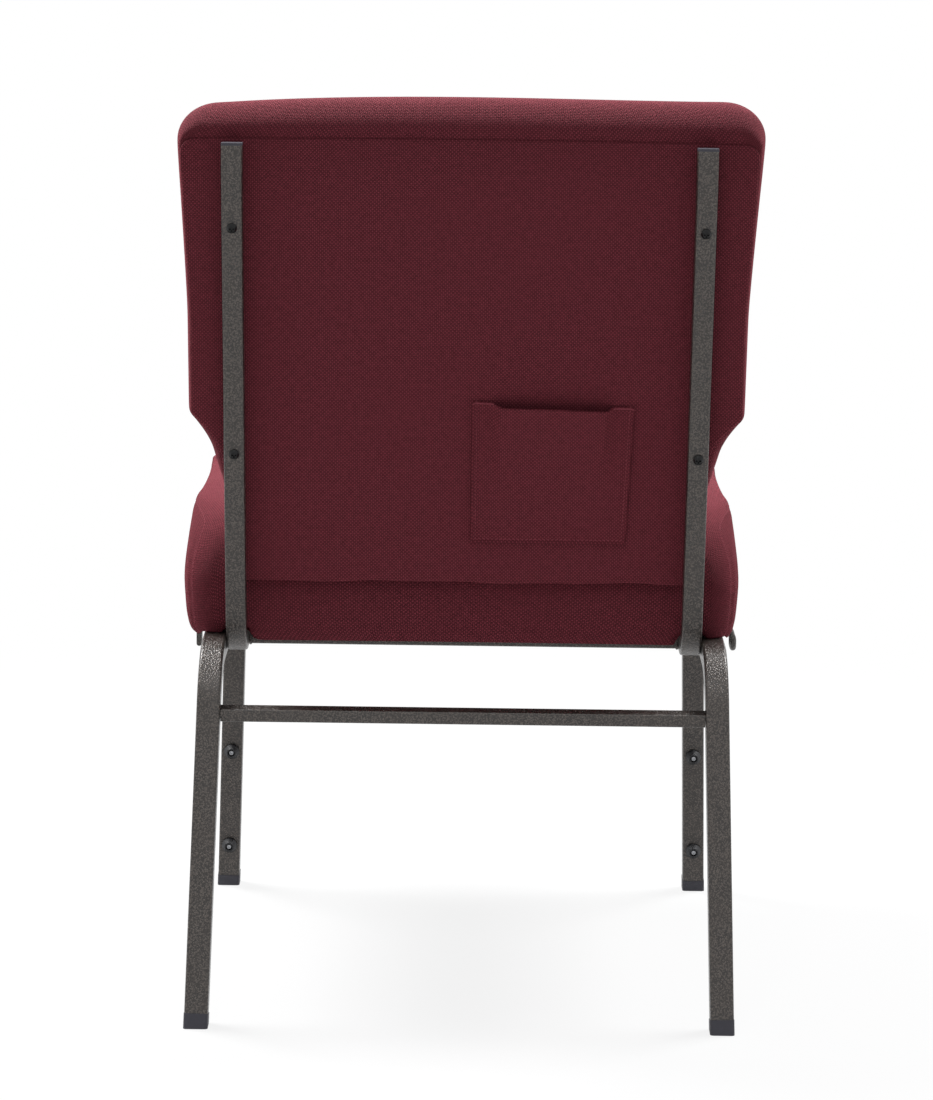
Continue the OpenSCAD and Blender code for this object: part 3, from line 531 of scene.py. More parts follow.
def finer(rings):
    """Twice as many points each way, on smooth curves through the given ones."""
    grid = np.stack(rings)
    before, after, far = np.roll(grid, 1, 1), np.roll(grid, -1, 1), np.roll(grid, -2, 1)
    between = (9 * (grid + after) - before - far) / 16
    grid = np.stack([grid, between], 2).reshape(len(grid), -1, 3)
    edge = np.concatenate([grid[:1], grid, grid[-1:]])
    between = (9 * (edge[1:-2] + edge[2:-1]) - edge[:-3] - edge[3:]) / 16
    rows = [row for pair in zip(grid, between) for row in pair]
    return rows + [grid[-1]]


print("ring helper ready")

# %% [markdown]
# ## Padding by cloth simulation
# A cover is cut flat and pulled over foam, so it swells between its seams and stays put where it is
# stapled. Blender's Cloth does the same: the seam points are pinned, pressure stands for the foam, and
# no point may move further than real foam would let it. The swell is smoothed, because a coarse
# cloth folds where a real cover doesn't, and the result is written into the mesh.

# %% Puff
PUFF_FRAMES, SMOOTH_ROUNDS, STIFFNESS = 16, 14, 18.0


def smoothed(swell, free):
    """Evens out the small folds that a coarse cloth makes, and leaves the held rings where they are."""
    for _ in range(SMOOTH_ROUNDS):
        padded = np.concatenate([swell[:1], swell, swell[-1:]])
        near = np.roll(swell, 1, 1) + np.roll(swell, -1, 1) + padded[:-2] + padded[2:]
        swell = 0.5 * swell + 0.125 * near
        swell = swell * np.minimum(1, free * 4)[:, None, None]
    return swell


def puff(name, rings, held_rings, freed_over, pressure, most):
    """Swells the rings by cloth simulation, by less than most. The first rings are held, and over the
    next ones the hold fades."""
    piece = ring_mesh(name, rings, cloth, 0, lambda p: (p[0], p[2]))
    start = get_points(piece.data)
    group = piece.vertex_groups.new(name="pins")
    points = len(rings[0])
    ring_pins = np.clip(1 - (np.arange(len(rings)) - held_rings) / freed_over, 0, 1)
    for number, level in enumerate(ring_pins):
        if level > 0:
            group.add(list(range(number * points, (number + 1) * points)), float(level), "REPLACE")
    group.add([len(rings) * points], 1.0, "REPLACE")
    cover = piece.modifiers.new("cover", "CLOTH")
    cover.settings.quality = 4
    cover.settings.mass = 0.25
    cover.settings.tension_stiffness = cover.settings.compression_stiffness = STIFFNESS
    cover.settings.shear_stiffness = STIFFNESS / 3
    cover.settings.bending_stiffness = 1.5
    cover.settings.use_pressure = True
    cover.settings.uniform_pressure_force = pressure
    cover.settings.effector_weights.gravity = 0
    cover.settings.vertex_group_mass = "pins"
    cover.collision_settings.use_collision = False
    cover.point_cache.frame_start, cover.point_cache.frame_end = 1, PUFF_FRAMES
    for number in range(1, PUFF_FRAMES + 1):
        scene.frame_set(number)
    shape = piece.evaluated_get(bpy.context.evaluated_depsgraph_get()).to_mesh()
    move = get_points(shape) - start
    length = np.linalg.norm(move, axis=1, keepdims=True)
    capped = most * np.tanh(length / most) / np.maximum(length, 1e-9)
    swell = smoothed((move * capped)[:-2].reshape(len(rings), points, 3), 1 - ring_pins)
    scene.frame_set(1)
    shell = piece.data
    bpy.data.objects.remove(piece)
    bpy.data.meshes.remove(shell)
    print(name, "swelled by up to", round(float(np.linalg.norm(swell, axis=2).max() / MM), 1), "mm")
    return list(np.stack(rings) + swell)


# %% [markdown]
# ## Beads along a path
# Stitches, bar tacks, staples and weld ripples are all one small shape that repeats along a line. One
# Geometry Nodes tree makes them all: it walks the line in steps and sets a bead at each. Its named
# inputs are the sizes, so that each use only gives its own numbers.

# %% Beads
BEAD_INPUTS = (("Path", "Geometry", None), ("Spacing", "Float", 4 * MM), ("Length", "Float", 3 * MM),
               ("Width", "Float", 0.8 * MM), ("Height", "Float", 0.8 * MM), ("Jitter", "Float", 0.0),
               ("Square", "Bool", False), ("Seed", "Int", 7), ("Finish", "Material", None))


def bead_tree():
    tree = bpy.data.node_groups.new("beads_along_path", "GeometryNodeTree")
    for name, kind, value in BEAD_INPUTS:
        socket = tree.interface.new_socket(name, in_out="INPUT", socket_type="NodeSocket" + kind)
        if value is not None:
            socket.default_value = value
    tree.interface.new_socket("Beads", in_out="OUTPUT", socket_type="NodeSocketGeometry")
    given = tree.nodes.new("NodeGroupInput")

    def node(kind, settings, inputs):
        made = tree.nodes.new(kind)
        for key, value in settings.items():
            setattr(made, key, value)
        for key, value in inputs.items():
            socket = find_socket(made.inputs, key)
            if isinstance(value, bpy.types.NodeSocket):
                tree.links.new(value, socket)
            else:
                socket.default_value = value
        return made

    line = node("GeometryNodeMeshToCurve", {}, {"Mesh": given.outputs["Path"]})
    walk = node("GeometryNodeCurveToPoints", {"mode": "LENGTH"},
                {"Curve": line.outputs[0], "Length": given.outputs["Spacing"]})
    ball = node("GeometryNodeMeshUVSphere", {}, {"Segments": 8, "Rings": 5, "Radius": 0.5})
    block = node("GeometryNodeMeshCube", {}, {"Size": (1.0, 1.0, 1.0)})
    shape = node("GeometryNodeSwitch", {"input_type": "GEOMETRY"},
                 {"Switch": given.outputs["Square"], "False": ball.outputs[0], "True": block.outputs[0]})
    size = node("ShaderNodeCombineXYZ", {}, {"X": given.outputs["Height"], "Y": given.outputs["Width"],
                                             "Z": given.outputs["Length"]})
    placed = node("GeometryNodeInstanceOnPoints", {},
                  {"Points": walk.outputs["Points"], "Instance": shape.outputs[0],
                   "Rotation": walk.outputs["Rotation"], "Scale": size.outputs[0]})
    least = node("ShaderNodeMath", {"operation": "MULTIPLY"}, {0: given.outputs["Jitter"], 1: -1.0})
    chance = node("FunctionNodeRandomValue", {"data_type": "FLOAT_VECTOR"},
                  {"Min": least.outputs[0], "Max": given.outputs["Jitter"], "Seed": given.outputs["Seed"]})
    shaken = node("GeometryNodeTranslateInstances", {},
                  {"Instances": placed.outputs[0], "Translation": chance.outputs["Value"]})
    real = node("GeometryNodeRealizeInstances", {}, {"Geometry": shaken.outputs[0]})
    smooth = node("GeometryNodeSetShadeSmooth", {}, {"Geometry": real.outputs[0]})
    coated = node("GeometryNodeSetMaterial", {}, {"Geometry": smooth.outputs[0],
                                                  "Material": given.outputs["Finish"]})
    end = tree.nodes.new("NodeGroupOutput")
    tree.links.new(coated.outputs[0], end.inputs["Beads"])
    return tree


bead_group = bead_tree()


def bead_sizes(spacing, length, width, height, jitter):
    """The sizes of beads, from mm."""
    return {"Spacing": spacing * MM, "Length": length * MM, "Width": width * MM, "Height": height * MM,
            "Jitter": jitter * MM}


def beads(name, paths, finish, **sizes):
    """A piece of beads along the paths, which are lists of places in metres."""
    verts, edges = [], []
    for path in paths:
        edges += [(len(verts) + i, len(verts) + i + 1) for i in range(len(path) - 1)]
        verts += [tuple(map(float, place)) for place in path]
    mesh = bpy.data.meshes.new(name + "_path")
    mesh.from_pydata(verts, edges, [])
    piece = add(name, mesh)
    maker = piece.modifiers.new("beads", "NODES")
    maker.node_group = bead_group
    for item in bead_group.interface.items_tree:
        if item.name == "Finish":
            maker[item.identifier] = finish
        elif item.name in sizes:
            maker[item.identifier] = sizes[item.name]
    depsgraph = bpy.context.evaluated_depsgraph_get()
    made = bpy.data.meshes.new_from_object(piece.evaluated_get(depsgraph))
    piece.modifiers.clear()
    piece.data = made
    made.name = name
    bpy.data.meshes.remove(mesh)
    print(name + ":", len(made.polygons), "faces along", len(paths), "paths")
    return piece


# %% [markdown]
# ## The back cushion
# One cover wraps the foam from the rear seam, over the rolled edge and across the front. Its rear rim
# hides under the rear panel. The roll at the top stands a little proud of the panel, which gives
# the dark line of the seam. The rings start at that seam and end in the middle of the front.

# %% Back cushion
ROLL_STATIONS = [(0, 0, 0), (0.26, 0, 0.02), (0.5, 0, 0.075), (0.71, 0, 0.164), (0.866, 0, 0.28),
                 (0.966, 0, 0.415), (1, 0, 0.56), (1, 0.06, 0.7), (1, 0.22, 0.84), (1, 0.52, 0.94),
                 (1, 1, 1)]
ROLL_RINGS, FACE_RINGS, FRONT_BEVEL, FRONT_CROWN, INNERMOST = 26, 30, 30.0, 0.085, 0.04
PROUD, PROUD_AT, PROUD_OVER = 2.0, 0.24, 0.26
BACK_SWELL, FLAT_MAP_FROM = 7 * MM, 40


def thickness(s):
    """The back's thickness at the height s: thin at the tail, full over the seat."""
    share = np.clip((s - TAIL_LOW) / 120.0, 0, 1)
    return TAIL_THICK + (BACK_THICK - TAIL_THICK) * eased(share) ** 0.7


def up_the_back(place):
    """The weave's map on a face that leans with the back."""
    return place[0], place[2] / math.cos(RECLINE)


def back_cushion():
    """Rings from the rear seam over the roll, and on to the middle of the front."""
    full = softened(full_back, 2)
    face = softened(whole_outline(FRONT_BEVEL, SEAM_H, TOP_CORNER - FRONT_BEVEL / 2, TOP_CROWN), 6)
    rings = []
    for roll, bevel, depth in smooth_through(ROLL_STATIONS, np.linspace(0, 1, ROLL_RINGS)):
        flat = seam_of_back + (full - seam_of_back) * roll
        flat = flat + (face - flat) * bevel
        thick = thickness(flat[:, 1])
        over_top = np.clip((flat[:, 1] - SEAM_H + 3) / 6, 0, 1)
        proud = PROUD * over_top * math.exp(-((roll - PROUD_AT) / PROUD_OVER) ** 2) if depth < 0.5 else 0
        rings.append(on_back(flat[:, 0], flat[:, 1], PANEL_T + 0.3 + (thick - PANEL_T) * depth - proud))
    for share in np.linspace(1, INNERMOST, FACE_RINGS)[1:]:
        flat = BACK_MIDDLE + (face - BACK_MIDDLE) * share
        crown = FRONT_CROWN * (1 - share ** 2.2)
        rings.append(on_back(flat[:, 0], flat[:, 1], thickness(flat[:, 1]) * (1 + crown)))
    return rings


rings = back_cushion()
rings = puff("back_form", rings, 9, 6, 3.5, BACK_SWELL)
cushion = ring_mesh("back_cushion", finer(rings), cloth, FLAT_MAP_FROM, up_the_back)
print("back cushion:", len(cushion.data.polygons), "faces")

# %% [markdown]
# ## The rear panel
# A thin upholstered panel closes the back: cloth pulled over fibreboard, with its edge turned under.
# It is a flat form with softly rounded edges. Its lower edge overhangs the tail by a few millimetres
# and waves slightly, as a turned hem does.

# %% Rear panel
PANEL_CLEAR, EDGE_IN, EDGE_ROUND, EDGE_DEEP, HEM_DROP = 0.25, 2.2, 1.9, 1.4, 5.5
PANEL_RINGS, EDGE_RINGS, PANEL_WAVE = 40, 9, 0.5


def rear_panel():
    """Rings from the middle of the rear face, round the edge and back to the middle in front."""
    edge = whole_outline(SIDE_ROLL - 0.6, SEAM_H - 0.4, PANEL_CORNER, SEAM_CROWN, changes=SEAM_CHANGES)
    low = edge[:, 1] < TAIL_LOW + 12
    edge[low, 1] += -HEM_DROP + 0.7 * np.sin(edge[low, 0] / 31) + 0.5 * np.sin(edge[low, 0] / 13 + 1)
    edge = softened(edge, 1)
    out = edge - BACK_MIDDLE
    out /= np.linalg.norm(out, axis=1, keepdims=True)
    rings = []
    for share in np.linspace(INNERMOST, 1, PANEL_RINGS):
        rings.append((BACK_MIDDLE + (edge - out * EDGE_IN - BACK_MIDDLE) * share, PANEL_CLEAR))
    for a in np.radians(np.linspace(15, 165, EDGE_RINGS)):
        flat = edge - out * (EDGE_IN - EDGE_ROUND * math.sin(a))
        rings.append((flat, PANEL_CLEAR + EDGE_DEEP * (1 - math.cos(a))))
    for share in (0.97, 0.9, 0.6, 0.3, INNERMOST):
        rings.append((BACK_MIDDLE + (edge - BACK_MIDDLE) * share, PANEL_CLEAR + PANEL_T))
    placed = []
    for flat, depth in rings:
        wave = np.array([noise.noise(Vector((x / 46, s / 60, 3.1))) for x, s in flat])
        placed.append(on_back(flat[:, 0], flat[:, 1], depth + PANEL_WAVE * np.abs(wave) * (depth < 1)))
    return ring_mesh("rear_panel", placed, cloth, 0, up_the_back)


panel = rear_panel()
print("rear panel:", len(panel.data.polygons), "faces")

# %% [markdown]
# ## The card pocket
# A patch pocket with a gaping mouth, sewn on three sides near its folded edge. The sheet is a grid
# whose points stand off the panel: little at the sewn edges, most in the middle of the mouth. Solidify
# gives the doubled cloth its thickness.

# %% Card pocket
POCKET_SET, POCKET_W, POCKET_LOW_W, POCKET_H = 5.5, 149.0, 143.5, 140.0
POCKET_LOW, POCKET_GAPE, POCKET_SAG = 72.0, 9.0, 2.0
POCKET_TACK, POCKET_SEAM_IN, POCKET_TILT = 17.0, 3.8, 4.0
POCKET_OFF, POCKET_SLACK, HEM_WIDE = 0.9, 0.5, 14
POCKET_COLUMNS, POCKET_ROWS, POCKET_WALL = 96, 92, 1.0


def ridge(way, high, wide):
    """A rounded ridge along a line, from the way to that line."""
    return high * np.exp(-(way / wide) ** 2)


def pocket_place(u, v):
    """u runs across from the inner edge, v up from the lower edge. Returns x, s and the lift."""
    width = POCKET_LOW_W + (POCKET_W - POCKET_LOW_W) * v
    to_side, to_mouth = np.minimum(u, 1 - u) * width, (1 - v) * POCKET_H
    across = eased(np.clip((to_side - POCKET_TACK) / 10, 0, 1))
    edge = np.minimum(to_side, v * POCKET_H)
    fold = ridge(edge, 1.7, 2.2) - ridge(edge - POCKET_SEAM_IN, 0.7, 1.2)
    hem = ridge(to_mouth, 0.5, 4.0) - ridge(to_mouth - HEM_WIDE, 0.25, 2)
    slack = POCKET_SLACK * np.sin(np.pi * u) * np.sin(np.pi * v)
    lift = POCKET_OFF + fold + hem + slack + POCKET_GAPE * v ** 2.2 * across
    x = -POCKET_SET - width * u
    s = POCKET_LOW + (POCKET_H - POCKET_SAG * across - POCKET_TILT * u) * v
    return x, s, lift


def thick_sheet(name, places, finish, wall):
    """A sheet on a grid of places in metres. Solidify gives it its wall."""
    rows, columns = places.shape[:2]
    index = np.arange(rows * columns).reshape(rows, columns)
    faces = np.stack([index[:-1, :-1], index[:-1, 1:], index[1:, 1:], index[1:, :-1]], -1)
    mesh = bpy.data.meshes.new(name)
    mesh.from_pydata(places.reshape(-1, 3).tolist(), [], faces.reshape(-1, 4).tolist())
    mesh.materials.append(finish)
    piece = add(name, mesh)
    thicken = piece.modifiers.new("wall", "SOLIDIFY")
    thicken.thickness, thicken.offset = wall, 0.0
    return piece


def card_pocket():
    u, v = np.meshgrid(np.linspace(0, 1, POCKET_COLUMNS), np.linspace(0, 1, POCKET_ROWS))
    x, s, lift = pocket_place(u, v)
    piece = thick_sheet("card_pocket_cloth", on_back(x, s, -lift), cloth, POCKET_WALL * MM)
    layer = piece.data.uv_layers.new(name="weave")
    for loop in piece.data.loops:
        i = loop.vertex_index
        layer.data[loop.index].uv = (x.ravel()[i] * MM + 0.0006, s.ravel()[i] * MM + 0.0004)
    piece.data.shade_smooth()
    return piece


pocket = card_pocket()
print("pocket:", len(pocket.data.polygons), "faces")

# %% [markdown]
# ## Stitches of the pocket
# One row of stitches runs down one side, along the bottom and up the other, and sinks a little into
# the cloth. A bar tack, which is a short dense row, holds each end of the mouth.

# %% Pocket stitches
STITCH, TACK = bead_sizes(4.0, 2.9, 0.8, 0.7, 0.12), bead_sizes(1.1, 1.2, 1.8, 1.0, 0.1)
SEAM_PLACES, TACK_PLACES, TACK_LOW = 60, 12, 1.2


def on_pocket(u, v, above=0.15):
    """Places over the pocket's outer face."""
    x, s, lift = pocket_place(u, v)
    return on_back(x, s, -lift - POCKET_WALL / 2 - above)


def pocket_stitches():
    inner, outer = POCKET_SEAM_IN / POCKET_W, 1 - POCKET_SEAM_IN / POCKET_W
    low, level = POCKET_SEAM_IN / POCKET_H, np.ones(SEAM_PLACES)
    up, along = np.linspace(low, 1, SEAM_PLACES), np.linspace(inner, outer, SEAM_PLACES)
    return [on_pocket(inner * level, up[::-1]), on_pocket(along, low * level), on_pocket(outer * level, up)]


def pocket_tacks():
    reach = np.linspace(0.6, POCKET_TACK + 2, TACK_PLACES) / POCKET_W
    level = np.full(TACK_PLACES, 1 - TACK_LOW / POCKET_H)
    return [on_pocket(reach, level, 0.3), on_pocket(1 - reach, level, 0.3)]


pocket_sewing = beads("pocket_stitches", pocket_stitches(), thread, **STITCH)
pocket_bars = beads("pocket_bar_tacks", pocket_tacks(), thread, **TACK)

# %% [markdown]
# ## The seat cushion
# The seat is a deep boxed cushion: a top panel that runs down the rear, and a side panel on each side.
# Its sides are fullest at two fifths of their height. Rings of a rounded rectangle, each with its own
# height and insets, give that form, and a lower pressure than on the back swells it a little.

# %% Seat cushion
SEAT_HALF_W, SEAT_FRONT_Y, SEAT_REAR_Y, SEAT_LOW, SEAT_TOP = 262.0, -301.0, 154.0, 344.2, 470.0
SEAT_MID_Y, SEAT_HALF_D = (SEAT_FRONT_Y + SEAT_REAR_Y) / 2, (SEAT_REAR_Y - SEAT_FRONT_Y) / 2
# height share, then insets of the side, the front and the rear in mm
SEAT_STATIONS = [
    (0.0, 15, 14, 2.5), (0.05, 6, 7.5, 0.8), (0.14, 2.2, 3, 0.2), (0.28, 0.6, 0.4, 0), (0.4, 0, 0, 0.3),
    (0.52, 0.6, 1.5, 5), (0.66, 2.0, 7.5, 12), (0.78, 3.2, 18, 21), (0.87, 4, 33, 34),
    (0.935, 7.5, 60, 54), (0.975, 22, 99, 90), (1.0, 70, 150, 140)]
BOARD_HALF_W, BOARD_HALF_D, BOARD_LOW, BOARD_TOP = 244.0, 209.5, 345.9, 357.9
SEAT_R, TOP_R, SEAT_BOW, SEAT_DOME, SEAT_SWELL = 26.0, 72.0, 3.0, 2.5, 1.8 * MM
CORNER_STEPS, EDGE_STEPS = 10, 44
BOARD_RINGS, SIDE_RINGS, DOME_RINGS = (0.05, 0.4, 0.8, 1.0), 42, 18


def rounded_rectangle(side_w, front_d, rear_d, r, z, mid=0.0, pull=0.0):
    """A closed ring of four corners and edges, from the rear corner on +X over the rear to -X and
    round. Its long edges bow in by pull."""
    points = []
    for sx, sy, start in ((1, 1, 90), (-1, 1, 180), (-1, -1, 270), (1, -1, 360)):
        d = rear_d if sy > 0 else front_d
        other = front_d if sy > 0 else rear_d
        for t in steps(0, 1, CORNER_STEPS):
            a = math.radians(start - 90 + 90 * t)
            points.append((sx * (side_w - r) + r * math.cos(a), mid + sy * (d - r) + r * math.sin(a)))
        for t in steps(0, 1, EDGE_STEPS):
            bow = pull * 4 * t * (1 - t)
            if sx == sy:
                points.append((sx * (side_w - r) * (1 - 2 * t), mid + sy * (d - bow)))
            else:
                points.append((sx * (side_w - bow), mid + sy * (d - r) * (1 - t) - sy * (other - r) * t))
    flat = np.array(points)
    return np.column_stack([flat, np.full(len(flat), z)])


def seat_ring(height, side_in, front_in, rear_in, r=SEAT_R):
    """A ring of the cushion at a share of its height, with an inset for each side."""
    z = SEAT_LOW + (SEAT_TOP - SEAT_LOW) * height
    return rounded_rectangle(SEAT_HALF_W - side_in, SEAT_HALF_D - front_in, SEAT_HALF_D - rear_in, r, z,
                             SEAT_MID_Y, SEAT_BOW)


def board_ring(inset):
    """A ring at height 0 round the seat board, inset by so much."""
    w, d = BOARD_HALF_W - inset, BOARD_HALF_D - inset
    return rounded_rectangle(w, d, d, SEAT_R, 0, SEAT_MID_Y)


def seat_cushion():
    """Rings from the top of the board, round its edge to the hem below, out and up the sides and over
    the dome. Also gives the number of the first ring of the sides."""
    middle = np.array([0, SEAT_MID_Y, 0])
    board, hem = board_ring(-0.4), board_ring(22)
    rings = [middle + (board - middle) * share + (0, 0, BOARD_TOP + 0.4) for share in BOARD_RINGS]
    rings += [board + (0, 0, BOARD_LOW - 0.2), hem + (0, 0, BOARD_LOW - 0.2), hem + (0, 0, SEAT_LOW + 0.15)]
    for t in np.linspace(0, 1, 6)[1:]:
        rings.append(hem + (seat_ring(0, 19, 18, 7) * (1, 1, 0) - hem) * t + (0, 0, SEAT_LOW + 0.1))
    first_side = len(rings)
    for height, *insets in smooth_through(SEAT_STATIONS, np.linspace(0, 1, SIDE_RINGS)):
        over_middle = max(0, (height - 0.5) / 0.5)
        rings.append(seat_ring(height, *insets, SEAT_R + (TOP_R - SEAT_R) * over_middle ** 1.5))
    dome = rings[-1] * (1, 1, 0)
    for share in np.linspace(1, INNERMOST, DOME_RINGS)[1:]:
        rise = SEAT_DOME * (1 - share ** 2)
        rings.append(middle + (dome - middle) * share + (0, 0, SEAT_TOP + rise))
    return [ring * MM for ring in rings], first_side


rings, first_side = seat_cushion()
rings = puff("seat_form", rings, first_side + 5, 5, 3.0, SEAT_SWELL)
# the rings round the board stay coarse, and those from the hem outwards get twice the rows
recess_rings = first_side - 6
side_row = recess_rings + 2 * (first_side - recess_rings)
rings = finer(rings[:recess_rings])[::2] + finer(rings[recess_rings:])
print("seat:", len(rings), "rings of", len(rings[0]), "points; the sides start at ring", side_row)

# %% [markdown]
# ## Room for the frame
# The cushion's lower rear edge hangs a little over the tubes under it. The frame is solid, so rays cast
# down from the cushion tell how far each point may hang, and a second rule keeps the edge clear of the
# bends of the seat rails.

# %% Hanging rear edge
HANG, HANG_ABOVE, HANG_CLEAR, HANG_SLOPE, SEAT_SHIFT = 7.0, 0.2, 0.7, 1.1, 3.0
# where the hang starts, from the front and from above, and over how many mm it grows
HANG_Y, HANG_Y_OVER, HANG_Z, HANG_Z_OVER = 112, 18, 388, 42
UPRIGHT_X, UPRIGHT_REACH, BEND_CLEAR = 214, 10.4, 0.6


def clear_of_frame(points):
    """Keeps the cushion's lower rear edge clear of the bends of the seat rails."""
    x, y, z = points.T.copy()
    beside = np.clip(1 - (np.abs(np.abs(x) - UPRIGHT_X) - UPRIGHT_REACH) / 5, 0, 1)
    rear, down = y - RAIL_REAR_Y, (RAIL_TOP + SEAT_BEND_FACE_R) - z
    far = np.hypot(rear, down)
    room = SEAT_BEND_FACE_R - BEND_CLEAR
    over = np.where((rear > 0) & (down > 0) & (far > room), (far - room) * beside, 0)
    y = y - over * rear / np.maximum(far, 1e-6)
    z = z + over * down / np.maximum(far, 1e-6)
    return np.stack([x, y, z], -1)


def frame_tree(names):
    """The frame's surface under the seat, to look for room."""
    verts, faces = [], []
    for name in names:
        piece = frame["nodes"][name]
        base = len(verts)
        verts += [piece.matrix_world @ v.co for v in piece.data.vertices]
        faces += [[base + i for i in polygon.vertices] for polygon in piece.data.polygons]
    return BVHTree.FromPolygons(verts, faces)


steel = frame_tree(["leg_frame_left", "leg_frame_right", "back_tube_left", "back_tube_right",
                    "rear_cross_rail", "ganging_hook", "ganging_loop"])


def hang(points, wanted):
    """Lets points below the cushion hang by the wanted mm, as far as the frame under them leaves room."""
    room = np.full(len(points), 1e3)
    for dx, dy in ((0, 0), (3, 0), (-3, 0), (0, 4), (0, -5)):
        for number in np.flatnonzero(wanted > 0):
            x, y, z = points[number]
            start = Vector((x + dx, y + dy, z + HANG_ABOVE)) * MM
            hit = steel.ray_cast(start, Vector((0, 0, -1)), 0.06)[3]
            if hit is not None:
                room[number] = min(room[number], hit / MM - HANG_ABOVE - HANG_CLEAR)
    drop = np.clip(np.minimum(wanted, room), 0, None)
    for _ in range(12):
        drop = np.minimum(drop, np.minimum(np.roll(drop, 1), np.roll(drop, -1)) + HANG_SLOPE)
    return points - np.outer(drop, (0, 0, 1))


for number in range(recess_rings, len(rings)):
    ring = rings[number] / MM
    ring[:, 0] += SEAT_SHIFT * np.clip((number - recess_rings) / 10, 0, 1)
    rear = np.clip((ring[:, 1] - HANG_Y) / HANG_Y_OVER, 0, 1)
    low = np.clip((HANG_Z - ring[:, 2]) / HANG_Z_OVER, 0, 1)
    rings[number] = clear_of_frame(hang(ring, HANG * eased(rear) * low)) * MM
print("the seat's lower rear edge hangs by up to", HANG, "mm")

# %% [markdown]
# ## The seat's boxing seams
# On each side a seam joins the top panel to the side panel: up the rear corner, forward near the top
# and down the front corner. It is drawn as places in the grid of rings, pressed in, and a row of
# stitches runs beside it. Round the cushion the grid has a corner and an edge, four times over.

# %% Boxing seams and the seat's mesh
# steps of the finer grid along a corner, an edge and both
GRID_CORNER, GRID_EDGE = 2 * CORNER_STEPS, 2 * EDGE_STEPS
GRID_QUARTER = GRID_CORNER + GRID_EDGE
SEAM_TURN, SEAM_HIGH, SEAM_LOW, SEAM_BEND = 38, 61, 3, 12.0
CREASE_DEEP, CREASE_WIDE = 1.0 * MM, 1.9 * MM
TOP_MAP_ROWS = 66


def seam_steps(side, turn, high):
    """The seam as places in the grid of the cushion: up the rear corner, forward, down the front corner.
    It lies turn degrees round the corners, and high rows up the side."""
    corner = turn / 90 * GRID_CORNER
    if side > 0:
        rear, front, way = corner, -GRID_EDGE - corner, -1
    else:
        rear, front, way = GRID_QUARTER + GRID_CORNER - corner, 2 * GRID_QUARTER + corner, 1
    low, top = side_row + SEAM_LOW, side_row + high
    a = np.radians(np.linspace(0, 90, 12))
    reach, level = SEAM_BEND * (1 - np.cos(a)), top - SEAM_BEND + SEAM_BEND * np.sin(a)
    up = np.stack([np.full(40, rear), np.linspace(low, top - SEAM_BEND, 40)], -1)
    bend = np.stack([rear + way * reach, level], -1)
    far = np.stack([front - way * reach, level], -1)[::-1]
    along = np.stack([np.linspace(bend[-1, 0], far[0, 0], 80), np.full(80, top)], -1)
    down = np.stack([np.full(40, front), np.linspace(top - SEAM_BEND, low, 40)], -1)
    return np.concatenate([up, bend[1:], along[1:], far[1:], down[1:]])


def on_grid(grid, steps_on_grid):
    """Places between the points of the grid."""
    i, j = steps_on_grid.T
    i0, j0 = np.floor(i).astype(int), np.clip(np.floor(j).astype(int), 0, len(grid) - 2)
    fi, fj = (i - i0)[:, None], (j - j0)[:, None]
    i0, i1 = i0 % grid.shape[1], (i0 + 1) % grid.shape[1]
    low = grid[j0, i0] * (1 - fi) + grid[j0, i1] * fi
    high = grid[j0 + 1, i0] * (1 - fi) + grid[j0 + 1, i1] * fi
    return low * (1 - fj) + high * fj


def creased(grid, lines):
    """Presses the grid in along the lines."""
    places = np.concatenate(lines)
    tree = KDTree(len(places))
    for number, place in enumerate(places):
        tree.insert(place, number)
    tree.balance()
    along, over = np.roll(grid, -1, 1) - np.roll(grid, 1, 1), np.gradient(grid, axis=0)
    normal = np.cross(along, over)
    normal /= np.maximum(np.linalg.norm(normal, axis=2, keepdims=True), 1e-9)
    middle = np.array([0, SEAT_MID_Y, (SEAT_LOW + SEAT_TOP) / 2]) * MM
    normal *= np.sign(((grid - middle) * normal).sum(2, keepdims=True))
    for j in range(side_row, len(grid)):
        for i in range(grid.shape[1]):
            far = tree.find(grid[j, i])[2]
            if far < 4 * CREASE_WIDE:
                grid[j, i] -= normal[j, i] * CREASE_DEEP * math.exp(-(far / CREASE_WIDE) ** 2)
    return grid


grid = np.stack(rings)
grid = creased(grid, [on_grid(grid, seam_steps(side, SEAM_TURN, SEAM_HIGH)) for side in (1, -1)])
seat = ring_mesh("seat_cushion", list(grid), cloth, side_row + TOP_MAP_ROWS, lambda p: p[:2], side_row)
print("seat cushion:", len(seat.data.polygons), "faces")
# the stitches run beside the seam, on the top panel's side
rows = [on_grid(grid, seam_steps(side, SEAM_TURN + 8, SEAM_HIGH + 1.6)) for side in (1, -1)]
seat_sewing = beads("seat_stitches", rows, thread, **STITCH)

# %% [markdown]
# ## The black cloth under the seat
# A thin felt sheet is stapled under the seat to hide the board. It is pulled flat.

# %% Dust cloth
DUST_IN, DUST_ABOVE, DUST_WALL = 23, 0.6, 0.6
DUST_HALF_W, DUST_HALF_D = BOARD_HALF_W - DUST_IN, BOARD_HALF_D - DUST_IN
DUST_COLUMNS, DUST_ROWS = 48, 42


def dust_sheet():
    """The rows run from the rear to the front, so that the sheet's face looks down."""
    x, y = np.meshgrid(np.linspace(-DUST_HALF_W, DUST_HALF_W, DUST_COLUMNS),
                       np.linspace(DUST_HALF_D, -DUST_HALF_D, DUST_ROWS))
    places = np.stack([x, y + SEAT_MID_Y, np.full_like(x, SEAT_LOW + DUST_ABOVE)], -1) * MM
    return thick_sheet("dust_cloth", places, dust_felt, DUST_WALL * MM)


dust = dust_sheet()
print("dust cloth:", len(dust.data.polygons), "faces")

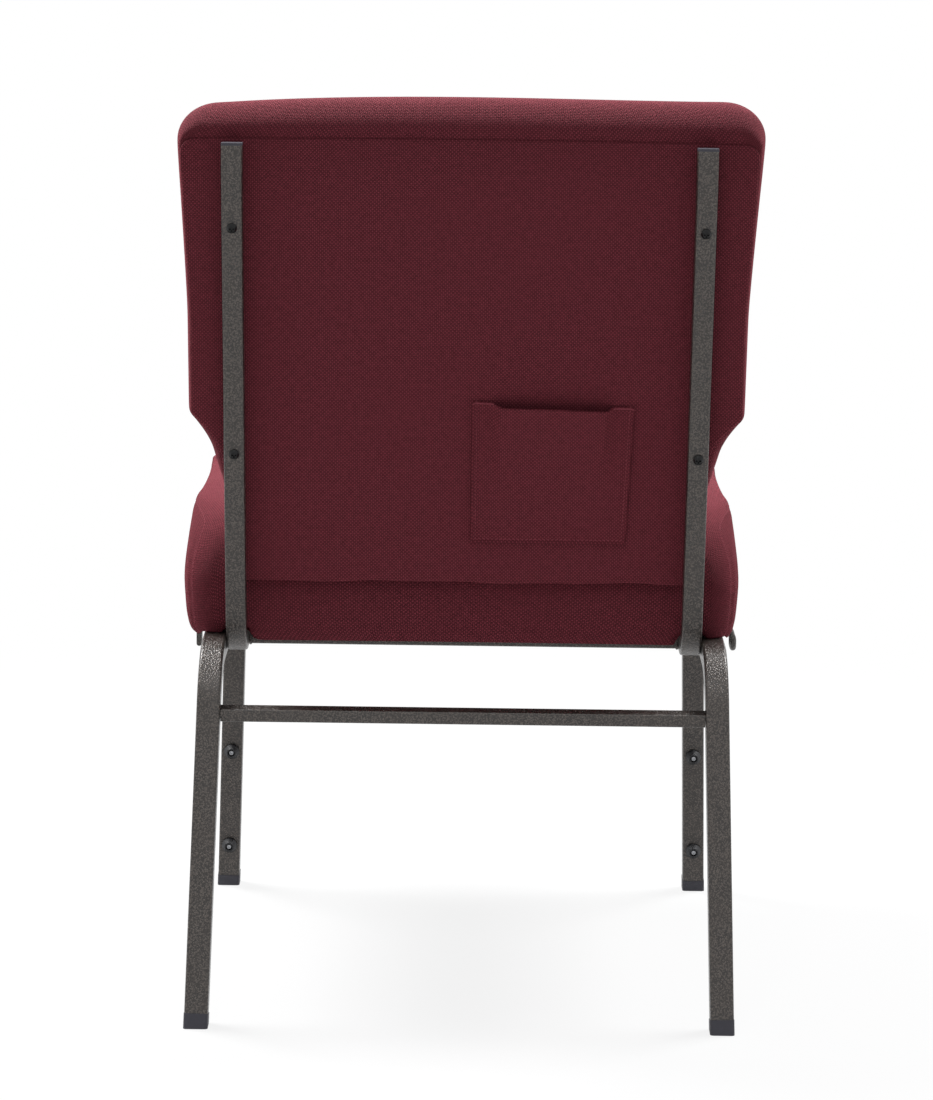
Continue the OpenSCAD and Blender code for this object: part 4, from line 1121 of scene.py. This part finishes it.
# %% [markdown]
# ## Staples
# A row of wire staples runs near each edge of the black cloth. They are the same beads again, as long
# thin blocks that stand a few centimetres apart.

# %% Staples
STAPLE_IN, STAPLE_ABOVE = 5.0, 0.25
STAPLE = bead_sizes(38, 11, 1.3, 0.5, 0.4)


def staple_paths():
    w, d, z = DUST_HALF_W - STAPLE_IN, DUST_HALF_D - STAPLE_IN, SEAT_LOW + STAPLE_ABOVE
    corners = [(-w, -d), (w, -d), (w, d), (-w, d)]
    return [[Vector((x, y + SEAT_MID_Y, z)) * MM for x, y in (a, b)]
            for a, b in zip(corners, corners[1:] + corners[:1])]


staples = beads("seat_staples", staple_paths(), zinc, Square=True, **STAPLE)

# %% [markdown]
# ## Welds under the seat
# The tubes are welded where they meet. The beads are small and out of sight from behind: round the ends
# of the two cross rails, and in short runs between the seat rails and the leg frames. The same
# tree makes them: beads that overlap look like the ripples of a weld.

# %% Welds
WELD = bead_sizes(1.5, 2.6, 3.0, 3.0, 0.15)
# the cross rails' corner radius, how far below their top a bead ends, and the short runs along Y
RAIL_R, WELD_BELOW, WELD_STARTS, WELD_RUN = 2.5, 4, (-150.0, 30.0), 30.0


def box_of(name):
    """The low and the high corner of a frame piece, in mm."""
    piece = frame["nodes"][name]
    places = np.array([piece.matrix_world @ v.co for v in piece.data.vertices]) / MM
    return places.min(0), places.max(0)


def weld_paths():
    paths = []
    for rail in ("front_cross_rail", "rear_cross_rail"):
        low, high = box_of(rail)
        end = high[2] - WELD_BELOW
        for side in (1, -1):
            x = side * (high[0] - 0.5)
            corners = [(high[1], end), (high[1], low[2] + RAIL_R), (high[1] - RAIL_R, low[2]),
                       (low[1] + RAIL_R, low[2]), (low[1], low[2] + RAIL_R), (low[1], end)]
            paths.append([Vector((x, y, z)) * MM for y, z in corners])
    rail_low, rail_high = box_of("back_tube_left")
    for side in (1, -1):
        for y in WELD_STARTS:
            paths.append([Vector((side * (rail_high[0] - 0.4), y + step, rail_low[2] + 0.6)) * MM
                          for step in (0.0, WELD_RUN)])
    return paths


welds = beads("weld_beads", weld_paths(), paint, **WELD)

# %% [markdown]
# ## Floor and light
# The photograph has a white surround and soft light from above. Two lamps stand over the sides, the
# left one stronger, and a weak one on the camera's side, so that the tops of the legs' bends stay
# dark. The floor and the world are white to the camera and dimmer to the light, which keeps the
# chair's shadow and its dark underside. A colour renders about as it is written.

# %% Floor, world and lamps
FLOOR_SIZE, FLOOR_BELOW = 40.0, 0.0005


def seen_rays(f):
    """1 for rays that the camera sees, straight or in a reflection, and 0 for those that only light."""
    camera_ray, glossy, through = (f.node("ShaderNodeLightPath", out=kind) for kind in (
        "Is Camera Ray", "Is Glossy Ray", "Is Transmission Ray"))
    return f.node("ShaderNodeMath", {"operation": "MAXIMUM"},
                  {0: camera_ray, 1: glossy.maths("MAXIMUM", glossy, through)})


def white_floor():
    f = Finish("studio_floor")
    far = f.node("ShaderNodeVectorMath", {"operation": "LENGTH"}, {0: f.place()}, "Value")
    share = seen_rays(f) * (f.mask(far, 0.2, 1.6) * 0.15 + 0.85)
    white = f.node("ShaderNodeEmission", {}, {"Color": (1, 1, 1, 1), "Strength": 1.0})
    matt = f.node("ShaderNodeBsdfDiffuse", {}, {"Color": (0.76, 0.76, 0.76, 1)})
    mixed = f.node("ShaderNodeMixShader", {}, {0: share, 1: matt, 2: white})
    f.node("ShaderNodeOutputMaterial", {}, {"Surface": mixed}, None)
    return f.material


floor_mesh = bpy.data.meshes.new("floor")
corners = [(x * FLOOR_SIZE, y * FLOOR_SIZE, 0) for x, y in ((-1, -1), (1, -1), (1, 1), (-1, 1))]
floor_mesh.from_pydata(corners, [], [(0, 1, 2, 3)])
floor_mesh.materials.append(white_floor())
floor = add("floor", floor_mesh)
floor.location.z = -FLOOR_BELOW


def white_world(world):
    f = Finish("studio", world)
    soft = f.node("ShaderNodeBackground", {}, {"Color": (0.93, 0.95, 1.0, 1), "Strength": 0.3})
    plain = f.node("ShaderNodeBackground", {}, {"Color": (1, 1, 1, 1), "Strength": 1.0})
    mixed = f.node("ShaderNodeMixShader", {}, {0: seen_rays(f), 1: soft, 2: plain})
    f.node("ShaderNodeOutputWorld", {}, {"Surface": mixed}, None)
    return world


scene.world = white_world(bpy.data.worlds.new("studio"))
LAMP_AIM = Vector((0, 0, 0.5))


def lamp(name, place, size, power):
    """An area lamp that looks at the middle of the chair."""
    data = bpy.data.lights.new(name, "AREA")
    data.shape, data.energy = "RECTANGLE", power
    data.size, data.size_y = size
    turn = (LAMP_AIM - Vector(place)).to_track_quat("-Z", "Y").to_matrix().to_4x4()
    add(name, data).matrix_world = Matrix.Translation(place) @ turn


lamp("key_left", (1.35, -0.7, 2.6), (1.0, 1.0), 110)
lamp("key_right", (-1.35, -0.7, 2.6), (1.0, 1.0), 82)
lamp("fill", (0.2, 2.1, 2.6), (1.1, 1.7), 12)
print("stage: floor, world and 3 lamps")

# %% [markdown]
# ## What each piece stands for
# Every piece rides on the one body, and the solids that it replaces are hidden.

# %% Rides and replaced solids
for piece, slot, nodes in (
        (cushion, "cover_cloth", ("back_cover", "back_foam")),
        (panel, "cover_cloth", ("back_rear_panel",)),
        (pocket, "cover_cloth", ("card_pocket",)),
        (seat, "cover_cloth", ("seat_cover", "seat_foam")),
        (dust, "dust_cloth", ("seat_dust_cover",))):
    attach(piece, "root")
    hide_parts(*nodes)
for piece, slot in (
        (pocket_sewing, "cover_cloth"), (pocket_bars, "cover_cloth"), (seat_sewing, "cover_cloth"),
        (staples, "zinc_steel"), (welds, "frame_paint")):
    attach(piece, "root")
